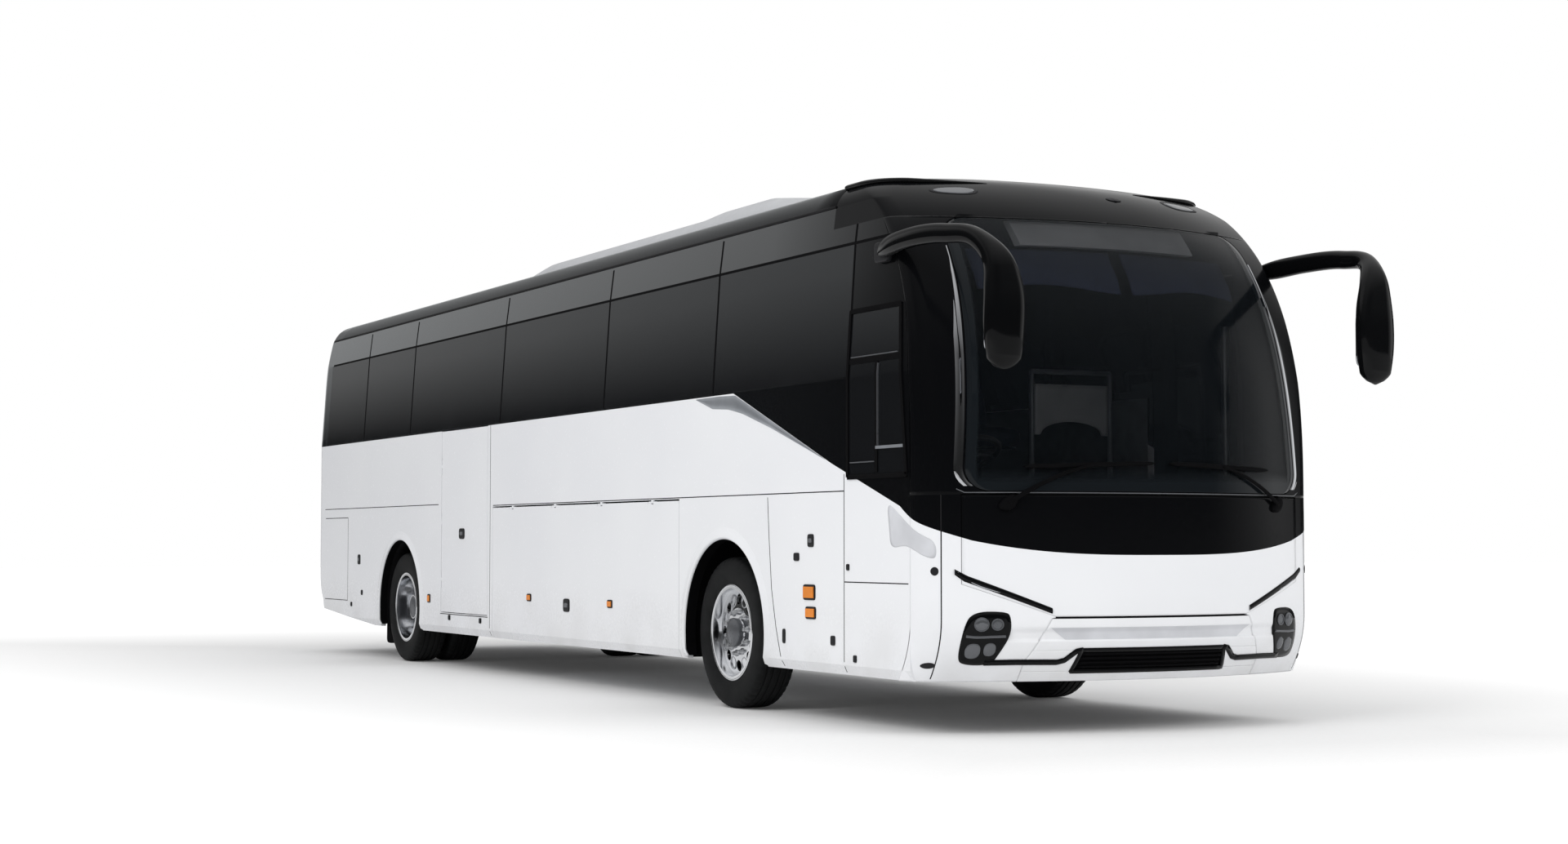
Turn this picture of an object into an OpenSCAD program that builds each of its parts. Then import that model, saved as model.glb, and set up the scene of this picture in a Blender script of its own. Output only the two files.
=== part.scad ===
/* [Main sizes] */
// Front axle to rear axle
wheelbase = 6530; // [6000:10:7000]
// Front axle to the front face
front_overhang = 2820; // [2700:10:3000]
// Rear axle to the rear face
rear_overhang = 2650; // [2500:10:3000]
// Width over the side walls
body_w = 2550; // [2400:10:2600]
// How far the mirrors reach past the front face
mirror_reach = 470; // [400:10:600]

/* [Levels above the road] */
// Lower edge of the skirt
skirt_z = 285; // [250:5:320]
// Seam between the skirt and the waist panels
seam_z = 1297; // [1250:1:1340]
// Lower edge of the window band
belt_z = 1932; // [1880:2:2000]
// Height of the side windows above the belt
glass_h = 756; // [700:2:800]
// Gutter seam above the side windows
gutter_h = 239; // [200:1:280]
// Crown of the roof above the gutter
roof_h = 188; // [160:2:220]
// Top of the roof pod above the crown
pod_h = 120; // [90:5:160]
// Top of the passenger floor
floor_z = 1290; // [1250:5:1295]

/* [Body form] */
// Thickness of walls, doors and roof
wall_t = 60; // [45:1:70]
// Thickness of the bonded glass
glass_t = 12; // [8:1:16]
// Radius of the front in plan
plan_r = 2600; // [2400:50:3200]
// Radius of the front corners in plan
corner_r = 220; // [180:10:260]
// Radius of the rear corners in plan
rear_corner_r = 240; // [180:10:300]
// Inward lean of the wall from belt to window top
lean_glass = 50; // [20:5:80]
// Inward lean of the wall from belt to gutter
lean_gutter = 80; // [60:5:110]
// Lower edge of the windscreen
screen_z = 1274; // [1220:2:1320]
// Lower edge of the front header below the gutter
header_drop = 127; // [90:1:160]

/* [Wheels] */
// Tyre radius
tyre_r = 465; // [440:1:480]
// Tyre width
tyre_w = 255; // [235:5:275]
// Rim radius at the tyre bead
rim_r = 286; // [270:1:295]
// Wheel face inside the side wall
wheel_inset = 55; // [40:5:80]
// Gap between twin tyres
twin_gap = 45; // [40:5:80]
// Wheel arch radius
arch_r = 575; // [560:5:600]
// Arch centre ahead of the axle
arch_shift = 35; // [0:5:60]

/* [Steering] */
// Kingpin inboard of the wheel's middle plane
kingpin_offset = 150; // [145:1:160]
// Kingpin radius
kingpin_r = 25; // [20:1:32]
// Length of the steering arms
arm_l = 220; // [180:5:260]
// Radius of the front wheel spindles
spindle_r = 40; // [32:1:50]
// Radius of the rear axle ends
stub_r = 60; // [50:1:70]

/* [Doors] */
// Gap round a door that moves
door_gap = 6; // [5:0.5:10]
// Luggage door: rear edge, from the front axle
bay_x0 = -4155; // [-4200:5:-4000]
// Luggage door: front edge, from the front axle
bay_x1 = -630; // [-700:5:-600]
// Battery bay door: rear edge, from the front axle
pack_x0 = -5390; // [-5450:5:-5300]
// Battery bay door: front edge, from the front axle
pack_x1 = -4265; // [-4290:5:-4230]
// Battery bay door: lower edge
pack_z = 450; // [420:5:480]
// Passenger door: rear edge, from the front axle
entry_x0 = 1050; // [950:10:1100]
// Passenger door: front edge, from the front axle
entry_x1 = 1920; // [1860:10:1950]
// Passenger door: lower edge
entry_z0 = 360; // [340:5:400]
// Passenger door: upper edge
entry_z1 = 2610; // [2500:10:2640]
// Length of the passenger door's arm
door_arm_l = 560; // [500:10:600]
// Inward angle of that arm when the door is shut
door_arm_in = 6; // [4:0.5:8]
// Half width of the motor bay door
motor_half = 930; // [850:10:960]
// Motor bay door: lower edge
motor_z0 = 780; // [700:10:850]
// Motor bay door: upper edge
motor_z1 = 1720; // [1600:10:1780]
// Running clearance of a pin in its bore
run = 0.05; // [0.02:0.01:0.1]
// Clearance between fixed curved faces
seat = 0.3; // [0.2:0.05:0.5]

/* [Hidden] */
$fn = 96;

body_l = front_overhang + wheelbase + rear_overhang;
front_x = (body_l - mirror_reach) / 2;
rear_x = front_x - body_l;
fa = front_x - front_overhang;
ra = fa - wheelbase;
half_w = body_w / 2;
glass_top_z = belt_z + glass_h;
gutter_z = glass_top_z + gutter_h;
roof_z = gutter_z + roof_h;
pod_z = roof_z + pod_h;
header_z = gutter_z - header_drop;
big = 20000;
white = "whitesmoke";
black = "#202124";
metal = "silver";
dark = "dimgray";
amber = "orange";

// A flat outline in X and Z carried across the body, or in Y and Z along it
module across(y0, y1) translate([0, y1, 0]) rotate([90, 0, 0]) linear_extrude(y1 - y0) children();
module along(x0, x1) translate([x0, 0, 0]) rotate([90, 0, 90]) linear_extrude(x1 - x0) children();
module block(p, q) translate(p) cube(q - p);
module side(s) if (s < 0) mirror([0, 1, 0]) children(); else children();

// Body form

tuck = 25;
tuck_z = 55;
edge_in = 185;
edge_drop = 40;
edge_turn = 68;
crown_turn = 9;

// Section points where the roof edge begins and where it meets the crown
gutter_p = [half_w - lean_gutter, gutter_z];
crown_p = [half_w - lean_gutter - edge_in, roof_z - edge_drop];

// Outer half width of the side wall at a height up to the gutter
function wall_y(z) = lookup(z, [[skirt_z, half_w], [belt_z, half_w], [glass_top_z, half_w - lean_glass],
    [gutter_z, gutter_p[0]]]);
// Centre and radius of the arc from p to q that turns by an angle and swells to the left
function arc_r(p, q, turn) = norm(q - p) / (2 * sin(turn / 2));
function arc_c(p, q, turn) = (p + q) / 2
    - [p[1] - q[1], q[0] - p[0]] / norm(q - p) * arc_r(p, q, turn) * cos(turn / 2);
edge_c = arc_c(crown_p, gutter_p, edge_turn);
edge_r = arc_r(crown_p, gutter_p, edge_turn);
crown_r = arc_r([-crown_p[0], crown_p[1]], crown_p, crown_turn);
// Outer half width of the body at any height
function side_y(z) = z <= gutter_z ? wall_y(z)
    : z < crown_p[1] ? edge_c[0] + sqrt(pow(edge_r, 2) - pow(z - edge_c[1], 2))
    : sqrt(max(1, pow(crown_r, 2) - pow(z - crown_p[1] + crown_r * cos(crown_turn / 2), 2)));

// Band of the side wall between two depths below its outer face, in section
module wall_band(a, b) polygon([[half_w - tuck - a, skirt_z], [half_w - a, skirt_z + tuck_z], [half_w - a, belt_z],
    [half_w - lean_glass - a, glass_top_z], [gutter_p[0] - a, gutter_z], [gutter_p[0] - b, gutter_z],
    [half_w - lean_glass - b, glass_top_z], [half_w - b, belt_z], [half_w - b, skirt_z]]);
// Points of the arc from p to q, swelling to the left by an angle in n steps
function arc_pts(p, q, turn, n) = let (c = arc_c(p, q, turn), r = arc_r(p, q, turn),
        a = atan2(p[1] - c[1], p[0] - c[0]))
    [for (k = [0:n]) c + r * [cos(a - turn * k / n), sin(a - turn * k / n)]];
// Roof outline in section, raised or lowered by i
module roof_outline(i) {
    e = crown_p - [i, i];
    half = concat(arc_pts([0, e[1] + crown_r * (1 - cos(crown_turn / 2))], e, crown_turn / 2, 4),
        arc_pts(e, gutter_p - [i, 0], edge_turn, 10), [[gutter_p[0] - i, gutter_z - 1]]);
    polygon(concat(half, [for (k = [len(half) - 1:-1:1]) [-half[k][0], half[k][1]]]));
}

// How far the front face lies back at a height: chin, upright nose, then a rounded rake up to the roof
chin_z = skirt_z + 335;
chin_run = 130;
nose_z = screen_z - 274;
nose_run = 1300;
function nose_back(z) = z < chin_z ? chin_run * pow((chin_z - z) / (chin_z - skirt_z), 2)
    : z < nose_z ? 0
    : nose_run * (1 - sqrt(max(0, 1 - pow((z - nose_z) / (roof_z - nose_z), 3))));
// Corner radius, tighter towards the top
pillar_r = 120;
function bend_r(z) = lookup(z, [[screen_z, corner_r], [header_z - 500, pillar_r], [gutter_z, pillar_r], [roof_z, 300]]);
// Centre of the front corner in plan
function bend_c(z) = let (w = side_y(z), r = min(bend_r(z), w / 2), y = w - r)
    [front_x - nose_back(z) - plan_r + sqrt(pow(plan_r - r, 2) - y * y), y];
arc_n = 10;
bend_n = 4;
// Half of the front's outline in plan at a height, inset by i, from the middle to the straight side
function front_half(z, i) = let (w = side_y(z), r = min(bend_r(z), w / 2), c = bend_c(z),
        m = [front_x - nose_back(z) - plan_r, 0], a = atan2(c[1], c[0] - m[0])) concat(
    [for (k = [0:arc_n - 1]) m + (plan_r - i) * [cos(a * k / arc_n), sin(a * k / arc_n)]],
    [for (k = [0:bend_n]) let (t = a + (90 - a) * k / bend_n) c + max(r - i, 1) * [cos(t), sin(t)]]);
function whole(half) = concat(half, [for (k = [len(half) - 1:-1:1]) [half[k][0], -half[k][1]]]);
slice_t = 1;
module front_slice(z, i, back, lift) translate([0, 0, z - lift]) linear_extrude(slice_t)
    polygon(whole(concat(front_half(z, i), [[back, max(side_y(z) - i, 1)]])));
// Solid front through a list of heights, inset by i, back to a plane; the ends reach over, and the top may sink
module front_solid(levels, i, back, over = 0, sink = 0) {
    last = len(levels) - 1;
    for (k = [0:last - 1]) hull() for (j = [k, k + 1])
        front_slice(levels[j], i, back, j == 0 ? over : j == last ? slice_t + sink - over
            : sink * (levels[j] - levels[0]) / (levels[last] - levels[0]));
}
mask_back = front_x - 1000;
// Heights between a and b at the given shares of the way
function steps(a, b, shares) = [for (f = shares) a + f * (b - a)];
low_levels = concat(steps(skirt_z, chin_z, [0, 0.25, 0.55, 1]), [screen_z]);
high_levels = steps(screen_z, header_z, [0, 0.21, 0.41, 0.57, 0.7, 0.82, 0.92, 1]);
mask_levels = concat(low_levels, [for (k = [1:len(high_levels) - 1]) high_levels[k]]);
dome_levels = concat(steps(header_z, gutter_z, [0, 0.55]), steps(gutter_z, crown_p[1], [0, 0.4, 0.75, 1]),
    steps(crown_p[1], roof_z, [0.5, 0.92]));
reach_over = 10;
module front_skin(levels, a, b) difference() {
    front_solid(levels, a, mask_back);
    front_solid(levels, b, mask_back - reach_over, reach_over);
}

// How far the rear face lies forward at a height
tail_z = gutter_z - 427;
tail_run = 330;
tail_room = 350;
depart_z = 115;
depart_l = 1900;
tail_low = skirt_z + 430;
tail_cut = skirt_z + depart_z;
function tail_back(z) = z < tail_low
    ? tail_run * (1 - sqrt(max(0, 1 - pow((tail_low - z) / (tail_low - tail_cut), 2))))
    : z < tail_z ? 0
    : tail_run * (1 - sqrt(max(0, 1 - pow((z - tail_z) / (roof_z - tail_z), 2))));
function tail_half(z, i) = let (w = side_y(z), r = min(rear_corner_r, tail_room - tail_back(z)),
        c = [rear_x + tail_back(z) + r, w - r]) concat(
    [[c[0] - r + i, 0]], [for (k = [0:bend_n]) c + max(r - i, 1) * [-cos(90 * k / bend_n), sin(90 * k / bend_n)]]);
module tail_slice(z, i, lift) translate([0, 0, z - lift]) linear_extrude(slice_t)
    polygon(whole(concat(tail_half(z, i), [[rear_split + (i > 0 ? reach_over : 0), max(side_y(z) - i, 1)]])));
tail_levels = concat(steps(tail_cut, tail_low, [0, 0.08, 0.32, 0.63, 1]), [belt_z],
    steps(tail_z, gutter_z, [0, 0.44, 0.75, 1]), steps(gutter_z, crown_p[1], [0.5, 1]), steps(crown_p[1], roof_z, [0.88]));
module tail_solid(i, over = 0, sink = 0) {
    last = len(tail_levels) - 1;
    for (k = [0:last - 1]) hull() for (j = [k, k + 1])
        tail_slice(tail_levels[j], i, j == 0 ? over : j == last ? slice_t + sink
            : sink * max(0, tail_levels[j] - tail_z) / (roof_z - tail_z));
}

// Where panels meet

rear_split = rear_x + tail_room;
roof_split = front_x - 1450;
seam_levels = steps(screen_z, header_z, [0, 0.35, 0.54, 0.67, 0.77, 0.87, 1]);
pillar_step = 6;
function split_x(z) = bend_c(z)[0] - pillar_step;
module ahead() across(-big, big) polygon(concat([[front_x + 500, -200], [split_x(screen_z), -200]],
    [for (z = seam_levels) [split_x(z), z]], [[split_x(header_z), 4000], [front_x + 500, 4000]]));

// Windows

lug_in = 35;
pane_z0 = belt_z + 8;
pane_z1 = glass_top_z - 4;
// Side panes: rear edge, front edge, lower edge, upper edge, from the front axle and the road
pane_rows = [[-8780, -7605, pane_z0, pane_z1], [-7590, -4012, pane_z0, pane_z1], [-3997, -1924, pane_z0, pane_z1],
    [-1909, -135, pane_z0, pane_z1]];
// The driver's window has a fifth value, its front edge at the top
driver_row = [1670, 2300, 1392, 2290, 2205];
right_rows = concat(pane_rows, [[-120, 1655, pane_z0, pane_z1], driver_row]);
left_rows = concat(pane_rows, [[-120, 1010, pane_z0, pane_z1]]);
module pane_area(p, grow) across(0, half_w + 10) translate([fa, 0]) polygon([[p[0] - grow, p[2] - grow],
    [p[1] + grow, p[2] - grow], [(len(p) > 4 ? p[4] : p[1]) + grow, p[3] + grow], [p[0] - grow, p[3] + grow]]);
module wall(a, b, x0 = rear_split, x1 = front_x) along(x0, x1) wall_band(a, b);
module pane(p) intersection() {
    wall(0, glass_t - seat, fa + p[0], fa + p[1]);
    pane_area(p, 0);
}
module pane_hole(p) {
    intersection() {
        wall(-5, glass_t, fa + p[0] - 3, fa + p[1] + 3);
        pane_area(p, 3);
    }
    pane_area(p, -lug_in);
}

// Hinges

// A lug with its pin, the knuckles that turn on it and the notch that clears it: axis along X, lug towards +Z
hinge_in = 8;
hinge_down = 15;
pin_r = 4;
barrel_r = 7;
lug_w = 30;
knuckle_w = 40;
lug_gap = 5;
pin_l = lug_w + 2 * (lug_gap + knuckle_w);
notch = 6;

module rod_x(r, l) translate([-l / 2, 0, 0]) rotate([0, 90, 0]) cylinder(r = r, h = l);
module hinge_lug() {
    rod_x(pin_r, pin_l);
    rod_x(barrel_r, lug_w);
    block([-lug_w / 2, -barrel_r + 1, 0], [lug_w / 2, barrel_r - 1, hinge_down]);
}
module hinge_knuckles() for (s = [-1, 1]) translate([s * (lug_w + knuckle_w + 2 * lug_gap) / 2, 0, 0]) difference() {
    union() {
        rod_x(barrel_r, knuckle_w);
        block([-knuckle_w / 2, -barrel_r + 1, -barrel_r - notch - 2], [knuckle_w / 2, barrel_r - 1, 0]);
    }
    rod_x(pin_r + run, knuckle_w + 2);
}
module hinge_notch() block([-pin_l / 2 - lug_gap, -barrel_r - notch, -barrel_r - notch],
    [pin_l / 2 + lug_gap, hinge_in + 1, hinge_down]);

bay_mid = (bay_x0 + bay_x1) / 2;
bay_lugs = [for (k = [-1.5:1:1.5]) fa + bay_mid + k * (bay_x1 - bay_x0) / 4];
// Hinge of a luggage door on the side s
module at_bay_hinge(s) for (x = bay_lugs) side(s) translate([x, half_w - hinge_in, seam_z - hinge_down]) children();
// Hinge of the battery bay door, upright at its rear edge on the right side
pack_lugs = [pack_z + 270, pack_z + 730, pack_z + 1190];
module at_pack_hinge(list) for (z = list) translate([fa + pack_x0 + hinge_down, -half_w + hinge_in, z])
    rotate([0, -90, 0]) mirror([0, 1, 0]) children();
// Hinge of the motor bay door along its upper edge
motor_lugs = [for (k = [-1.5:1:1.5]) k * motor_half / 2.3];
module at_motor_hinge() for (y = motor_lugs)
    translate([rear_x + hinge_in, y, motor_z1 - hinge_down]) rotate([0, 0, 90]) children();

// Side panels

module pack_hole() block([fa + pack_x0, -half_w - 10, pack_z], [fa + pack_x1, -half_w + wall_t + 10, belt_z - 2]);
module entry_hole(g) block([fa + entry_x0 + g, half_w - wall_t - 60, entry_z0 + g],
    [fa + entry_x1 - g, half_w + 10, entry_z1 - g]);

module side_frame(s, rows) difference() {
    side(s) intersection() {
        wall(0, wall_t);
        block([rear_split, 0, seam_z], [front_x, half_w + 1, gutter_z]);
    }
    ahead();
    block([roof_split, -half_w - 1, header_z], [front_x, half_w + 1, gutter_z + 1]);
    side(s) for (p = rows) pane_hole(p);
    if (s < 0) pack_hole(); else entry_hole(0);
}
module side_frame_right() color(black) {
    side_frame(-1, right_rows);
    at_bay_hinge(-1) hinge_lug();
    at_pack_hinge([pack_lugs[2]]) hinge_lug();
}
module side_frame_left() color(black) {
    side_frame(1, left_rows);
    at_bay_hinge(1) hinge_lug();
}

module departure() across(-half_w - 1, half_w + 1) polygon([[rear_x - 10, 0], [rear_x - 10, tail_cut],
    [rear_x + tail_run, tail_cut],
    [rear_x + depart_l, skirt_z - 0.01], [rear_x + depart_l, 0]]);
module skirt(s) difference() {
    side(s) intersection() {
        wall(0, wall_t);
        block([rear_split, 0, 0], [front_x, half_w + 1, seam_z]);
    }
    ahead();
    departure();
    block([fa + bay_x0, -half_w - 1, 0], [fa + bay_x1, half_w + 1, seam_z + 1]);
    for (x = [fa, ra]) {
        translate([x + arch_shift, half_w + 1, tyre_r]) rotate([90, 0, 0]) cylinder(r = arch_r, h = body_w + 2, $fn = 180);
        block([x + arch_shift - arch_r, -half_w - 1, 0], [x + arch_shift + arch_r, half_w + 1, tyre_r]);
    }
    if (s < 0) pack_hole(); else entry_hole(0);
}
module skirt_right() color(white) {
    skirt(-1);
    at_pack_hinge([pack_lugs[0], pack_lugs[1]]) hinge_lug();
}
module skirt_left() color(white) skirt(1);

module side_glass_right() color(black) side(-1) for (p = right_rows) pane(p);
module side_glass_left() color(black) for (p = left_rows) pane(p);

module luggage_door(s) {
    difference() {
        side(s) intersection() {
            wall(0, wall_t, fa + bay_x0 + door_gap, fa + bay_x1 - door_gap);
            block([rear_x, 0, 0], [front_x, half_w + 1, seam_z - hinge_down + 4]);
        }
        at_bay_hinge(s) hinge_notch();
    }
    at_bay_hinge(s) hinge_knuckles();
}
module luggage_door_right() color(white) luggage_door(-1);
module luggage_door_left() color(white) luggage_door(1);

module battery_bay_door() color(white) {
    difference() {
        block([fa + pack_x0 + hinge_down - 4, -half_w, pack_z + door_gap],
            [fa + pack_x1 - door_gap, -half_w + wall_t, belt_z - 2 - door_gap]);
        at_pack_hinge(pack_lugs) hinge_notch();
    }
    at_pack_hinge(pack_lugs) hinge_knuckles();
}

// Roof

module roof() color(black) difference() {
    along(rear_split, roof_split) difference() {
        roof_outline(0);
        roof_outline(wall_t);
    }
    block([rear_x, -half_w, 0], [front_x, half_w, gutter_z]);
}
// Roof pod: rear and front end, half width, run of the rear slope, lean of its sides, from the front axle
pod_x0 = -4280;
pod_x1 = 600;
pod_half = 980;
pod_end = 380;
pod_lean = 40;
pod_edge = 45;
pod_turn = 10;
pod_tip = roof_z + 5;
pod_low = roof_z - 120;
pod_top = pod_z - 20;
// Raised front of the pod: start, full height, end of it and start of the front slope
hump = [-1000, -820, -250, 100];
module roof_pod() color("lightgray") difference() {
    intersection() {
        across(-pod_half, pod_half) translate([fa, 0]) polygon([[pod_x0, pod_low], [pod_x0, pod_tip],
            [pod_x0 + pod_end, pod_top], [hump[0], pod_top], [hump[1], pod_z], [hump[2], pod_z],
            [hump[3], pod_top - 10], [pod_x1, pod_tip], [pod_x1, pod_low]]);
        along(fa + pod_x0, fa + pod_x1) polygon(concat([[-pod_half, pod_low], [-pod_half, roof_z - 30]],
            arc_pts([pod_lean - pod_half, pod_z - pod_edge], [pod_half - pod_lean, pod_z - pod_edge], pod_turn, 8),
            [[pod_half, roof_z - 30], [pod_half, pod_low]]));
    }
    along(fa + pod_x0 - 1, fa + pod_x1 + 1) roof_outline(-seat);
}

// Front

// Half outline of the windscreen glass: half width and height, below and above
screen_low = [1085, screen_z + 16];
screen_top = [985, header_z - 10];
module yz(points) along(mask_back, front_x + 60) polygon(points);
module screen_area(g) yz([[-screen_low[0] - g, screen_low[1] - g], [screen_low[0] + g, screen_low[1] - g],
    [screen_top[0] + g, screen_top[1] + g], [-screen_top[0] - g, screen_top[1] + g]]);

lid_half = 1095;
lid_z = 630;
lid_low = 620;
lid_step = 800;
lid_lip = 30;
lid_t = 28;
module lid_area(g) yz([[-lid_low + g / 2, lid_z - g], [-lid_half - g, lid_step - g], [-lid_half - g, screen_z - 8 + g],
    [lid_half + g, screen_z - 8 + g], [lid_half + g, lid_step - g], [lid_low - g / 2, lid_z - g]]);
bumper_top = 618;
bumper_low = 760;
bumper_high = 640;
module bumper_area(g) yz([[-bumper_low - g, 0], [-bumper_low - g, 385], [-bumper_high - g, bumper_top + g],
    [bumper_high + g, bumper_top + g], [bumper_low + g, 385], [bumper_low + g, 0]]);

// Headlamp and slit lamp outlines on one side, across and height
headlamp_pts = [[815, 600], [975, 664], [1085, 640], [1118, 560], [1105, 405], [945, 405], [900, 470], [835, 560]];
slit_pts = [[640, 645], [1085, 815], [1130, 850], [1130, 880], [1070, 845], [640, 675]];
// An outline grown by g on the side s
module grown(pts, s, g) along(mask_back, front_x + 60) offset(delta = g) polygon([for (p = pts) [s * p[0], p[1]]]);
lamp_depth = 45;

module front_mask() color(white) difference() {
    intersection() {
        front_skin(mask_levels, 0, wall_t);
        ahead();
    }
    intersection() {
        front_skin(mask_levels, -5, glass_t);
        screen_area(3);
    }
    screen_area(-lug_in);
    intersection() {
        front_skin(mask_levels, -5, lid_t);
        lid_area(3);
    }
    lid_area(-lid_lip);
    bumper_area(3);
    for (s = [-1, 1]) intersection() {
        front_skin(mask_levels, -5, lamp_depth);
        union() {
            grown(headlamp_pts, s, 2);
            grown(slit_pts, s, 2);
        }
    }
}
module front_header() color(black) difference() {
    front_solid(dome_levels, 0, roof_split);
    front_solid(dome_levels, wall_t, roof_split - reach_over, reach_over, wall_t + reach_over);
}
module windscreen() color("slategray") intersection() {
    front_skin(mask_levels, 0, glass_t - seat);
    screen_area(0);
}
module front_lid() color(white) difference() {
    intersection() {
        front_skin(mask_levels, 0, lid_t - seat);
        lid_area(0);
    }
    for (s = [-1, 1]) grown(slit_pts, s, 2);
}
grille_low = [480, 340];
grille_top = [450, 448];
module grille_area(g) yz([[-grille_low[0] - g, grille_low[1] - g], [grille_low[0] + g, grille_low[1] - g],
    [grille_top[0] + g, grille_top[1] + g], [-grille_top[0] - g, grille_top[1] + g]]);
module front_bumper() color(white) difference() {
    intersection() {
        front_skin(mask_levels, 0, wall_t);
        bumper_area(2.6);
    }
    grille_area(seat);
}
slats = 4;
module front_grille() color(black) intersection() {
    front_skin(mask_levels, 8, wall_t - 6);
    difference() {
        grille_area(0);
        for (k = [0:slats - 1]) yz([for (c = [[-1, 0], [1, 0], [1, 1], [-1, 1]])
            [c[0] * (grille_top[0] - 25), grille_low[1] + 12 + k * 24 + c[1] * 13]]);
    }
}
module front_lamps() color("gainsboro") for (s = [-1, 1], pts = [headlamp_pts, slit_pts]) intersection() {
    front_skin(mask_levels, 0, lamp_depth - seat);
    grown(pts, s, 0);
}
// Markers on the side walls and on the luggage doors: place from the front axle, height, half length and half height
marker_rows = [[1190, 735, 62, 32], [1208, 618, 52, 24], [-5690, 557, 24, 24]];
bay_marker_rows = [[-3340, 612, 32, 18], [-1780, 600, 32, 18]];
marker_t = 12;
module marker(m) block([fa + m[0] - m[2], half_w, m[1] - m[3]], [fa + m[0] + m[2], half_w + marker_t, m[1] + m[3]]);
module marker_lamps() color(amber) for (s = [-1, 1], m = marker_rows) if (s < 0 || m[0] < 1000) side(s) marker(m);
module bay_markers_right() color(amber) side(-1) for (m = bay_marker_rows) marker(m);
module bay_markers_left() color(amber) for (m = bay_marker_rows) marker(m);

// Wipers: pivot and middle of the blade, across and height, lying against the glass
wiper_rows = [[-870, 1225, -415, 1430], [890, 1225, 425, 1430]];
// Half of a blade: towards the middle and upwards
blade = [375, 12];
module bar(p, q, w) {
    d = q - p;
    translate(p) rotate(atan2(d[1], d[0])) translate([0, -w / 2]) square([norm(d), w]);
}
module wipers() color(black) for (w = wiper_rows) {
    p = [w[0], w[1]];
    q = [w[2], w[3]];
    b = [-sign(w[0]) * blade[0], blade[1]];
    intersection() {
        front_skin(mask_levels, -26, -8);
        along(mask_back, front_x + 60) union() {
            bar(p, q, 26);
            bar(q - b, q + b, 34);
        }
    }
    intersection() {
        front_skin(mask_levels, -30, -seat);
        along(mask_back, front_x + 60) translate(p) circle(28, $fn = 24);
    }
}

sign_half = 575;
sign_z = header_z - 160;
module sign_box() color("gray") intersection() {
    difference() {
        front_solid(high_levels, wall_t + seat, mask_back, reach_over);
        front_solid(high_levels, wall_t + 60, mask_back - 1, 2 * reach_over);
    }
    yz([[-sign_half, sign_z], [sign_half, sign_z], [sign_half, header_z - 8], [-sign_half, header_z - 8]]);
}

// Mirrors: wall foot, shoulder, elbow and top of the head, from the front face, the middle plane and the road
foot_x = -805;
pad_t = 46;
foot_z = header_z - 200;
mirror_path = [[foot_x, wall_y(foot_z) + pad_t, foot_z], [-420, half_w + 40, foot_z + 30],
    [mirror_reach - 200, half_w - 20, foot_z - 50], [mirror_reach - 110, half_w - 90, foot_z - 210]];
mirror_r = 38;
head_x = [mirror_reach - 145, mirror_reach - 60];
head_y = [half_w - 195, half_w + 15];
head_z = [foot_z - 675, foot_z - 245];
head_r = 60;
// A round bar from p to q
module rod(p, q, r) {
    d = q - p;
    translate(p) rotate([0, acos(d[2] / norm(d)), atan2(d[1], d[0])]) cylinder(r = r, h = norm(d));
}
module mirror_piece(s) side(s) translate([front_x, 0, 0]) {
    for (k = [0:2]) rod(mirror_path[k], mirror_path[k + 1], mirror_r - 3 * k);
    for (k = [1, 2]) translate(mirror_path[k]) sphere(r = mirror_r + 2 - 3 * k);
    hull() for (x = head_x, y = head_y, z = head_z) translate([x, y, z]) sphere(r = head_r, $fn = 16);
    translate([foot_x, wall_y(foot_z), foot_z]) rotate([atan2(lean_glass, glass_top_z - belt_z), 0, 0])
        block([-75, seat, -55], [75, pad_t, 55]);
}
module mirror_right() color(black) mirror_piece(-1);
module mirror_left() color(black) mirror_piece(1);

// Rear

plate_half = 1000;
window_half = 930;
window_z0 = belt_z + 40;
window_z1 = tail_z - 40;
module rear_block(y, z0, z1, x0 = 0, x1 = wall_t) block([rear_x + x0, -y, z0], [rear_x + x1, y, z1]);
module rear_wall() color(white) {
    difference() {
        rear_block(plate_half, tail_low, tail_z);
        rear_block(window_half + 3, window_z0 - 3, window_z1 + 3, -5, glass_t);
        rear_block(window_half - lug_in, window_z0 + lug_in, window_z1 - lug_in, -5, wall_t + 5);
        rear_block(motor_half, motor_z0, motor_z1, -5, wall_t + 5);
    }
    at_motor_hinge() hinge_lug();
}
module rear_window() color("slategray") rear_block(window_half, window_z0, window_z1, 0, glass_t);
// Tail lamps in the corners beside the plate: inner and outer edge, lower and upper edge
tail_lamp = [1030, 1160, 860, 1560];
tail_lamp_t = 30;
module tail_area(g) for (s = [-1, 1]) side(s) block([rear_x - 50, tail_lamp[0] - g, tail_lamp[2] - g],
    [rear_split, tail_lamp[1] + g, tail_lamp[3] + g]);
module tail_lamps() color("red") intersection() {
    difference() {
        tail_solid(0);
        tail_solid(tail_lamp_t - seat, reach_over, tail_lamp_t);
    }
    tail_area(0);
}
module rear_surround() color(white) difference() {
    tail_solid(0);
    tail_solid(wall_t, reach_over, wall_t);
    rear_block(plate_half, tail_low, tail_z, -5, wall_t + 5);
    intersection() {
        difference() {
            tail_solid(-5);
            tail_solid(tail_lamp_t, reach_over, tail_lamp_t);
        }
        tail_area(2);
    }
}
module motor_bay_door() color(white) {
    difference() {
        rear_block(motor_half - door_gap, motor_z0 + door_gap, motor_z1 - hinge_down + 4);
        at_motor_hinge() hinge_notch();
    }
    at_motor_hinge() hinge_knuckles();
}

// Passenger door

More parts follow.
